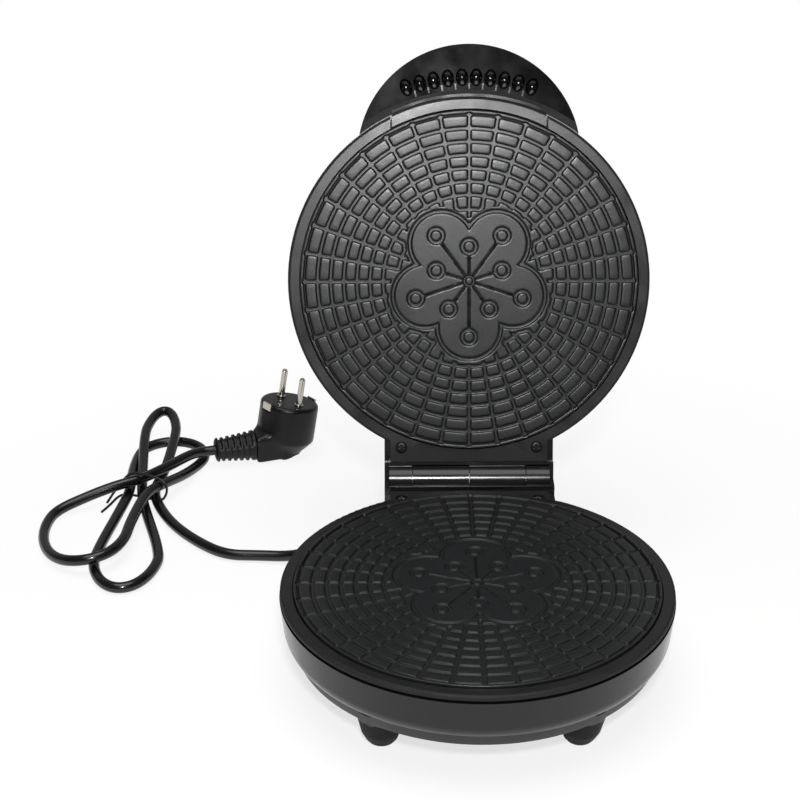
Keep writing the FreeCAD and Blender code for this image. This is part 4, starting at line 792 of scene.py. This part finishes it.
def lead_runs(half):
    """Routes of the wires inside a half in millimetres, each with its radius."""
    runs = []
    for side in (-1, 1):
        start = (5.55 * side, -59.89)
        way = 10 * side - 10
        points = [(*start, ELEMENT_END)]
        if half == "lid":
            points += [(*start, -21.4), (8 * side, -84, -22.4), (6 * side, -101, -20.4)]
        else:
            points += [(*start, -18.8), (way, -40, -18.8), (way, -20, -18.8), (way, -20, TERMINAL),
                       (way, -29, TERMINAL)]
        runs.append((points, WIRE))
    if half == "base":
        sheath_end, sheath_level = (36.64, -45.73), -26
        runs.append(([(*sheath_end, sheath_level), (44.14, -55.10, sheath_level),
                      (51.64, -64.46, sheath_level)], SHEATH))
        for step in (-1, 0, 1):
            level, way = 2.8 * step + sheath_level, 10 * step - 10
            runs.append(([(*sheath_end, level), (32.89, -41.05, level), (way, 7 * step - 54, TERMINAL),
                          (way, -43, TERMINAL)], CORE))
    return [([HALF[half] @ (Vector(p) * MM) / MM for p in points], radius) for points, radius in runs]


class CONEMAKER_OT_fittings(bpy.types.Operator):
    """Build the screws and wires and give the inner pieces their finishes"""
    bl_idname = "conemaker.fittings"
    bl_label = "Fittings"

    def execute(self, context):
        for name, nodes in NODE_FINISHES.items():
            for node in nodes:
                mesh = frame["nodes"][node].data
                mesh.materials.clear()
                mesh.materials.append(plain(name))
        for node, sizes in SCREWS.items():
            mesh = screw_mesh(node, *sizes)
            new_object(node + "_turned", mesh, plain("steel_black_oxide"), sizes[0], "steel", node)
        for half in HALF:
            name = half + "_wires"
            curve = route(name, *lead_runs(half))
            new_object(name, curve, plain("silicone_rubber"), half, "sleeve", half + "_leads")
        return {"FINISHED"}


# Cord and plug

# Heights of the lead's middle: on the floor, and in the lower and upper layers under the tie.
GROUND, LOW, HIGH = 3.5, 5.3, 12.5
# Where the lead leaves the base and enters the plug's boot, and the ways there.
GLAND = Vector((-77.750, 97.047, 25.857))
GLAND_WAY = Vector((-0.56666, 0.70731, -0.42262))
BOOT_FACE = Vector((-161.457, 245.832, 10.6))
BOOT_WAY = Vector((-0.96029, -0.27899, 0.0))


def loop_points(x, y, across, along, lean, start, sweep, heights):
    """Corners of the polygon round an arc of an ellipse that leans sideways, one for each height."""
    step = sweep / len(heights)
    grow = 1 / math.cos(math.radians(step) / 2)
    turn = Matrix.Rotation(math.radians(lean), 2)
    corners = []
    for index, height in enumerate(heights):
        angle = math.radians(start + (index + 0.5) * step)
        place = turn @ Vector((across * grow * math.cos(angle), along * grow * math.sin(angle)))
        corners.append((x + place.x, y + place.y, height))
    return corners


def cord_points():
    """Control points of the lead from the gland to the plug's boot."""
    points = [GLAND - GLAND_WAY * 5, GLAND + GLAND_WAY * 14]
    points += [(-96.0, 113.8, 9.4), (-107.4, 118.4, 4.2), (-125.0, 121.0, GROUND), (-146.0, 121.8, GROUND),
               (-165.4, 139.0, GROUND), (-181.6, 160.0, GROUND), (-192.4, 181.0, GROUND + 1.6)]
    points += [(-197.4, 201.0, LOW), (-192.4, 226.0, LOW + 0.6)]
    points += loop_points(-200.0, 264.0, 10.4, 34.0, 0, -4, 188,
                          (11.2, 12.2, 13.2, 13.8, 13.8, 13.2, 12.2, 11.2))
    points += [(-207.4, 228.0, LOW + 0.6), (-204.8, 201.0, LOW), (-202.2, 184.0, LOW - 0.8)]
    points += loop_points(-204.6, 122.5, 19.4, 38.0, 0, 14, -205, (GROUND,) * 8)
    points += [(-214.2, 184.0, LOW - 0.6), (-212.2, 201.0, LOW), (-214.2, 226.0, LOW - 1.0)]
    points += loop_points(-191.0, 250.5, 21.8, 21.8, 0, 184, -222, (GROUND,) * 8)
    points += [(-179.0, 217.5, HIGH - 5.2), (-190.2, 196.6, HIGH - 0.4), (-199.8, 183.6, HIGH + 0.4)]
    points += loop_points(-232.5, 147.0, 26.0, 42.0, 11, 4, -246,
                          (HIGH - 0.6, HIGH - 0.9, HIGH - 1.2, HIGH - 1.4, 9.4, 6.4, 4.2, GROUND, GROUND,
                           GROUND + 1))
    points += [(-236.0, 188.0, HIGH - 4.0), (-219.0, 195.0, HIGH - 0.3), (-204.4, 202.4, HIGH)]
    points += [(-189.0, 219.4, HIGH + 0.3), (-177.0, 235.5, HIGH + 0.1)]
    points += [BOOT_FACE + BOOT_WAY * 10, BOOT_FACE, BOOT_FACE - BOOT_WAY * 8]
    return points


def route(name, *runs):
    """A round curve along runs of control points in millimetres, each with its radius."""
    curve = bpy.data.curves.new(name, "CURVE")
    curve.dimensions = "3D"
    thickest = max(radius for _, radius in runs)
    for points, radius in runs:
        spline = curve.splines.new("NURBS")
        spline.points.add(len(points) - 1)
        for place, point in zip(spline.points, points):
            place.co = (*(Vector(point) * MM), 1.0)
            place.radius = radius / thickest
        spline.order_u = 3
        spline.use_endpoint_u = True
        spline.resolution_u = 8
    curve.bevel_depth = thickest * MM
    curve.bevel_resolution = 6
    curve.use_fill_caps = True
    return curve


def tie_points():
    """Control points of the tie: one turn in an upright plane across the hank, and two tails."""
    bottom, top = 0.95, 17.9
    turn = ((4.0, bottom), (28.5, bottom), (33.4, 4.5), (35.8, 12.5), (31.0, top), (10.0, top), (4.2, 12.8),
            (0.4, 7.0))
    points = [(-228.0, 180.0, bottom), (-223.8, 189.0, bottom), (-220.6, 200.0, bottom)]
    points += [(-219.0 + 0.8977 * reach, 206.5 - 0.442 * reach, height) for reach, height in turn]
    return points + [(-223.0, 200.0, 3.8), (-224.4, 193.0, 3.4), (-225.6, 189.0, 2.8)]


# The boot along one rib: share of the pitch, and depth of the slot in millimetres.
RIB = ((0.04, 1.2), (0.08, 0.5), (0.16, 0.0), (0.44, 0.0), (0.52, 0.5), (0.56, 1.2), (0.62, 1.6),
       (0.98, 1.6))
# Its round end: distance from the end, and how far it falls in.
BOOT_END = ((1.9, 0.2), (1.6, 0.0), (1.1, 0.1), (0.5, 0.6), (0.1, 1.5), (0.0, 2.4))


def boot_mesh(name):
    """The ribbed boot: slots from above and below, a smooth bridge along each side, and a round end."""
    reach, ribs, count = 25.8, 6, 64
    wide, taper, end = 10.0, 0.4, 8.0
    pitch = reach / (ribs + 0.5)
    stations = [(0.0, wide, 0.0, 0.0)]
    for rib in range(ribs):
        for share, slot in RIB:
            if rib == 0 and share < 0.2:
                slot = 0.0
            stations.append((pitch * (rib + share), wide - taper * rib, slot, 0.0))
    stations += [(reach - rest, end, 0.0, drop) for rest, drop in BOOT_END]
    angles = np.arange(count) * 2 * math.pi / count
    bridge_side, bridge_fade = 0.36, 0.22
    bridge = np.clip((np.abs(np.sin(angles)) - bridge_side) / bridge_fade, 0, 1)
    start, up = BOOT_FACE - BOOT_WAY * reach, Vector((0, 0, 1))
    side = up.cross(BOOT_WAY)
    points, faces = [], []
    for along, radius, slot, drop in stations:
        for angle, share in zip(angles, bridge):
            out = side * math.cos(angle) + up * math.sin(angle)
            points.append(start + BOOT_WAY * along + out * (radius - slot * share - drop))
    for row in range(len(stations) - 1):
        faces += stitch(row * count, angles, angles)
    faces += [tuple(range(count - 1, -1, -1)), tuple(range(len(points) - count, len(points)))]
    mesh = mesh_from(name, points, [face[::-1] for face in faces])
    mesh.set_sharp_from_angle(angle=math.radians(55))
    return mesh


# The plug's neck lies beyond this side and under this height, in millimetres.
NECK_SIDE, NECK_TOP = -117.0, 22.0


def softened(body):
    """Give an overmoulding, which has no crisp edge, an even skin and smooth it, most on the neck."""
    skin = body.modifiers.new("skin", "REMESH")
    skin.mode = "VOXEL"
    skin.voxel_size = 0.6 * MM
    skinned = bpy.data.meshes.new_from_object(body.evaluated_get(bpy.context.evaluated_depsgraph_get()))
    body.modifiers.clear()
    work = bmesh.new()
    work.from_mesh(skinned)
    neck = [point for point in work.verts if point.co.x < NECK_SIDE * MM and point.co.z < NECK_TOP * MM]
    for points, rounds in ((work.verts, 10), (neck, 70)):
        for _ in range(rounds):
            bmesh.ops.smooth_vert(work, verts=points, factor=0.5, use_axis_x=True, use_axis_y=True,
                                  use_axis_z=True)
    work.to_mesh(body.data)
    work.free()
    bpy.data.meshes.remove(skinned)
    body.data.shade_smooth()


class CONEMAKER_OT_plug(bpy.types.Operator):
    """Build the plug with its boot, pins and earth contacts"""
    bl_idname = "conemaker.plug"
    bl_label = "Plug"

    def execute(self, context):
        mesh = eased("plug_body", 0.8)
        softened(new_object("plug_body_moulded", mesh, moulded_pvc(context), "base", "plug", "plug_body"))
        mesh = boot_mesh("plug_boot_ribs")
        new_object("plug_boot_moulded", mesh, boot_pvc(context), "base", "plug", "plug_boot")
        eased_piece("plug_pins", nickel_plate(context), "nickel", 0.25)
        eased_piece("plug_earth_clips", nickel_plate(context), "nickel", 0.2)
        eased_piece("cord_gland", moulded_pvc(context), "cord", 0.3)
        return {"FINISHED"}


class CONEMAKER_OT_cord(bpy.types.Operator):
    """Lay the lead in its tied hank"""
    bl_idname = "conemaker.cord"
    bl_label = "Cord"

    def execute(self, context):
        sizes = context.scene.cone_cord
        curve = route("power_cord", (cord_points(), sizes.radius / MM))
        lead = new_object("power_cord", curve, soft_pvc(context), "base", "cord", "power_cord_lead",
                          "power_cord_hank", "power_cord_tail")
        curve = route("cord_tie_wire", (tie_points(), sizes.tie_radius / MM))
        tie = new_object("cord_tie_wire", curve, plain("lacquered_wire"), "base", "tie", "cord_tie")
        return {"FINISHED"}


# Stage

FLOOR_RADIUS = 14.0
CAMERA_PLACE = (-0.04472, -0.87245, 0.58543)
CAMERA_WAY = (0.00396, 0.90088, -0.43405)
CAMERA_ROLL = math.radians(-0.12)
SENSOR_WIDTH = 36
# Each lamp's place, aim and width in metres, and the setting that holds its power.
LAMPS = {
    "front_light": ((-0.02, -0.93, 0.82), (0.0, 0.06, 0.14), 0.12, "flash"),
    "overhead_light": ((-0.1, 0.0, 1.9), (0.0, 0.02, 0.0), 1.6, "overhead"),
}
# How white the paper is between two distances from the middle in metres: to the eye it turns white away
# from the object, and in reflections it carries a painted shadow under the object and a painted pool of
# light round it that fades into a dark room.
PAPER = {
    "seen": (0.16, 0.45, 0.72, 1.0),
    # Painted shadow under the object, seen in reflections.
    "under": (0.07, 0.13, 0.1, 1.0),
    # Painted pool of light round the object, seen in reflections.
    "fade": (0.13, 0.34, 1.0, 0.14),
}


class CONEMAKER_OT_stage(bpy.types.Operator):
    """Set the floor, the light and the camera"""
    bl_idname = "conemaker.stage"
    bl_label = "Stage"

    def execute(self, context):
        scene = context.scene
        settings = scene.cone_stage
        scene.view_settings.view_transform = "Standard"

        disc = bmesh.new()
        bmesh.ops.create_circle(disc, cap_ends=True, segments=96, radius=FLOOR_RADIUS)
        mesh = bpy.data.meshes.new("floor")
        disc.to_mesh(mesh)
        disc.free()
        floor = bpy.data.objects.new("floor", mesh)
        scene.collection.objects.link(floor)
        material = bpy.data.materials.new("paper_floor")
        material.use_nodes = True
        tree = material.node_tree
        tree.nodes.clear()
        matt = add(tree, "ShaderNodeBsdfDiffuse", {"Color": settings.floor})
        glow = add(tree, "ShaderNodeEmission", {"Color": (1, 1, 1, 1), "Strength": 1.0})
        path = add(tree, "ShaderNodeLightPath")
        place = add(tree, "ShaderNodeTexCoord").outputs["Object"]
        away = add(tree, "ShaderNodeVectorMath", {0: place}, operation="LENGTH").outputs["Value"]
        paper = {}
        for name, (near, far, start, end) in PAPER.items():
            paper[name] = add(tree, "ShaderNodeMapRange", {"Value": away, "From Min": near, "From Max": far,
                                                           "To Min": start, "To Max": end}).outputs[0]
        # The paper's glow in reflections, with its painted shadow and painted pool of light.
        mirrored = add(tree, "ShaderNodeMath", {0: paper["under"], 1: paper["fade"]},
                       operation="MULTIPLY").outputs[0]
        direct = add(tree, "ShaderNodeMath", {0: path.outputs["Is Camera Ray"],
                                              1: path.outputs["Is Transmission Ray"]},
                     operation="MAXIMUM").outputs[0]
        share = add(tree, "ShaderNodeMath", {0: direct, 1: paper["seen"]}, operation="MULTIPLY").outputs[0]
        share = add(tree, "ShaderNodeMath", {0: path.outputs["Is Glossy Ray"], 1: mirrored, 2: share},
                    operation="MULTIPLY_ADD").outputs[0]
        surface = add(tree, "ShaderNodeMixShader", {0: share, 1: matt.outputs[0], 2: glow.outputs[0]})
        add(tree, "ShaderNodeOutputMaterial", {"Surface": surface.outputs[0]})
        mesh.materials.append(material)

        world = bpy.data.worlds.new("room")
        scene.world = world
        world.use_nodes = True
        tree = world.node_tree
        tree.nodes.clear()
        # The wall behind the object is the paler one, and to the eye the room is white beyond the paper.
        look = add(tree, "ShaderNodeTexCoord").outputs["Generated"]
        behind = add(tree, "ShaderNodeSeparateXYZ", {0: look}).outputs["Y"]
        wall = add(tree, "ShaderNodeMapRange", {"Value": behind, "From Min": 0.2, "From Max": 0.8,
                                                "To Min": settings.room,
                                                "To Max": settings.wall}).outputs[0]
        seen = add(tree, "ShaderNodeLightPath").outputs["Is Camera Ray"]
        wall = add(tree, "ShaderNodeMath", {0: wall, 1: seen}, operation="MAXIMUM").outputs[0]
        back = add(tree, "ShaderNodeBackground", {"Color": (1, 1, 1, 1), "Strength": wall})
        add(tree, "ShaderNodeOutputWorld", {"Surface": back.outputs[0]})

        for name, (place, aim, width, power) in LAMPS.items():
            lamp = bpy.data.lights.new(name, "AREA")
            lamp.shape = "DISK"
            lamp.size = width
            lamp.energy = getattr(settings, power)
            obj = bpy.data.objects.new(name, lamp)
            obj.location = place
            obj.rotation_euler = (Vector(aim) - Vector(place)).to_track_quat("-Z", "Y").to_euler()
            scene.collection.objects.link(obj)

        lens = bpy.data.cameras.new("camera")
        lens.lens = settings.lens
        lens.sensor_width = SENSOR_WIDTH
        lens.clip_start, lens.clip_end = 0.01, 100
        camera = bpy.data.objects.new("camera", lens)
        roll = Matrix.Rotation(CAMERA_ROLL, 4, "Z").to_quaternion()
        camera.rotation_mode = "QUATERNION"
        camera.rotation_quaternion = Vector(CAMERA_WAY).to_track_quat("-Z", "Y") @ roll
        camera.location = CAMERA_PLACE
        scene.collection.objects.link(camera)
        scene.camera = camera
        return {"FINISHED"}


class CONEMAKER_PT_panel(bpy.types.Panel):
    """The steps that build the cone maker"""
    bl_idname = "CONEMAKER_PT_panel"
    bl_label = "Cone maker"
    bl_space_type = "VIEW_3D"
    bl_region_type = "UI"
    bl_category = "Cone maker"

    def draw(self, context):
        for step in STEPS:
            self.layout.operator(step.bl_idname)


STEPS = (CONEMAKER_OT_stage, CONEMAKER_OT_plates, CONEMAKER_OT_housing, CONEMAKER_OT_handle,
         CONEMAKER_OT_fittings, CONEMAKER_OT_plug, CONEMAKER_OT_cord)
CLASSES = (PlateSizes, CordSizes, Finishes, StageSettings) + STEPS + (CONEMAKER_PT_panel,)


def register():
    for item in CLASSES:
        bpy.utils.register_class(item)
    for name, group in GROUPS.items():
        setattr(bpy.types.Scene, name, bpy.props.PointerProperty(type=group))


def unregister():
    for name in GROUPS:
        delattr(bpy.types.Scene, name)
    for item in reversed(CLASSES):
        bpy.utils.unregister_class(item)


def main():
    register()
    for step in STEPS:
        group, name = step.bl_idname.split(".")
        getattr(getattr(bpy.ops, group), name)()


if __name__ == "__main__":
    main()
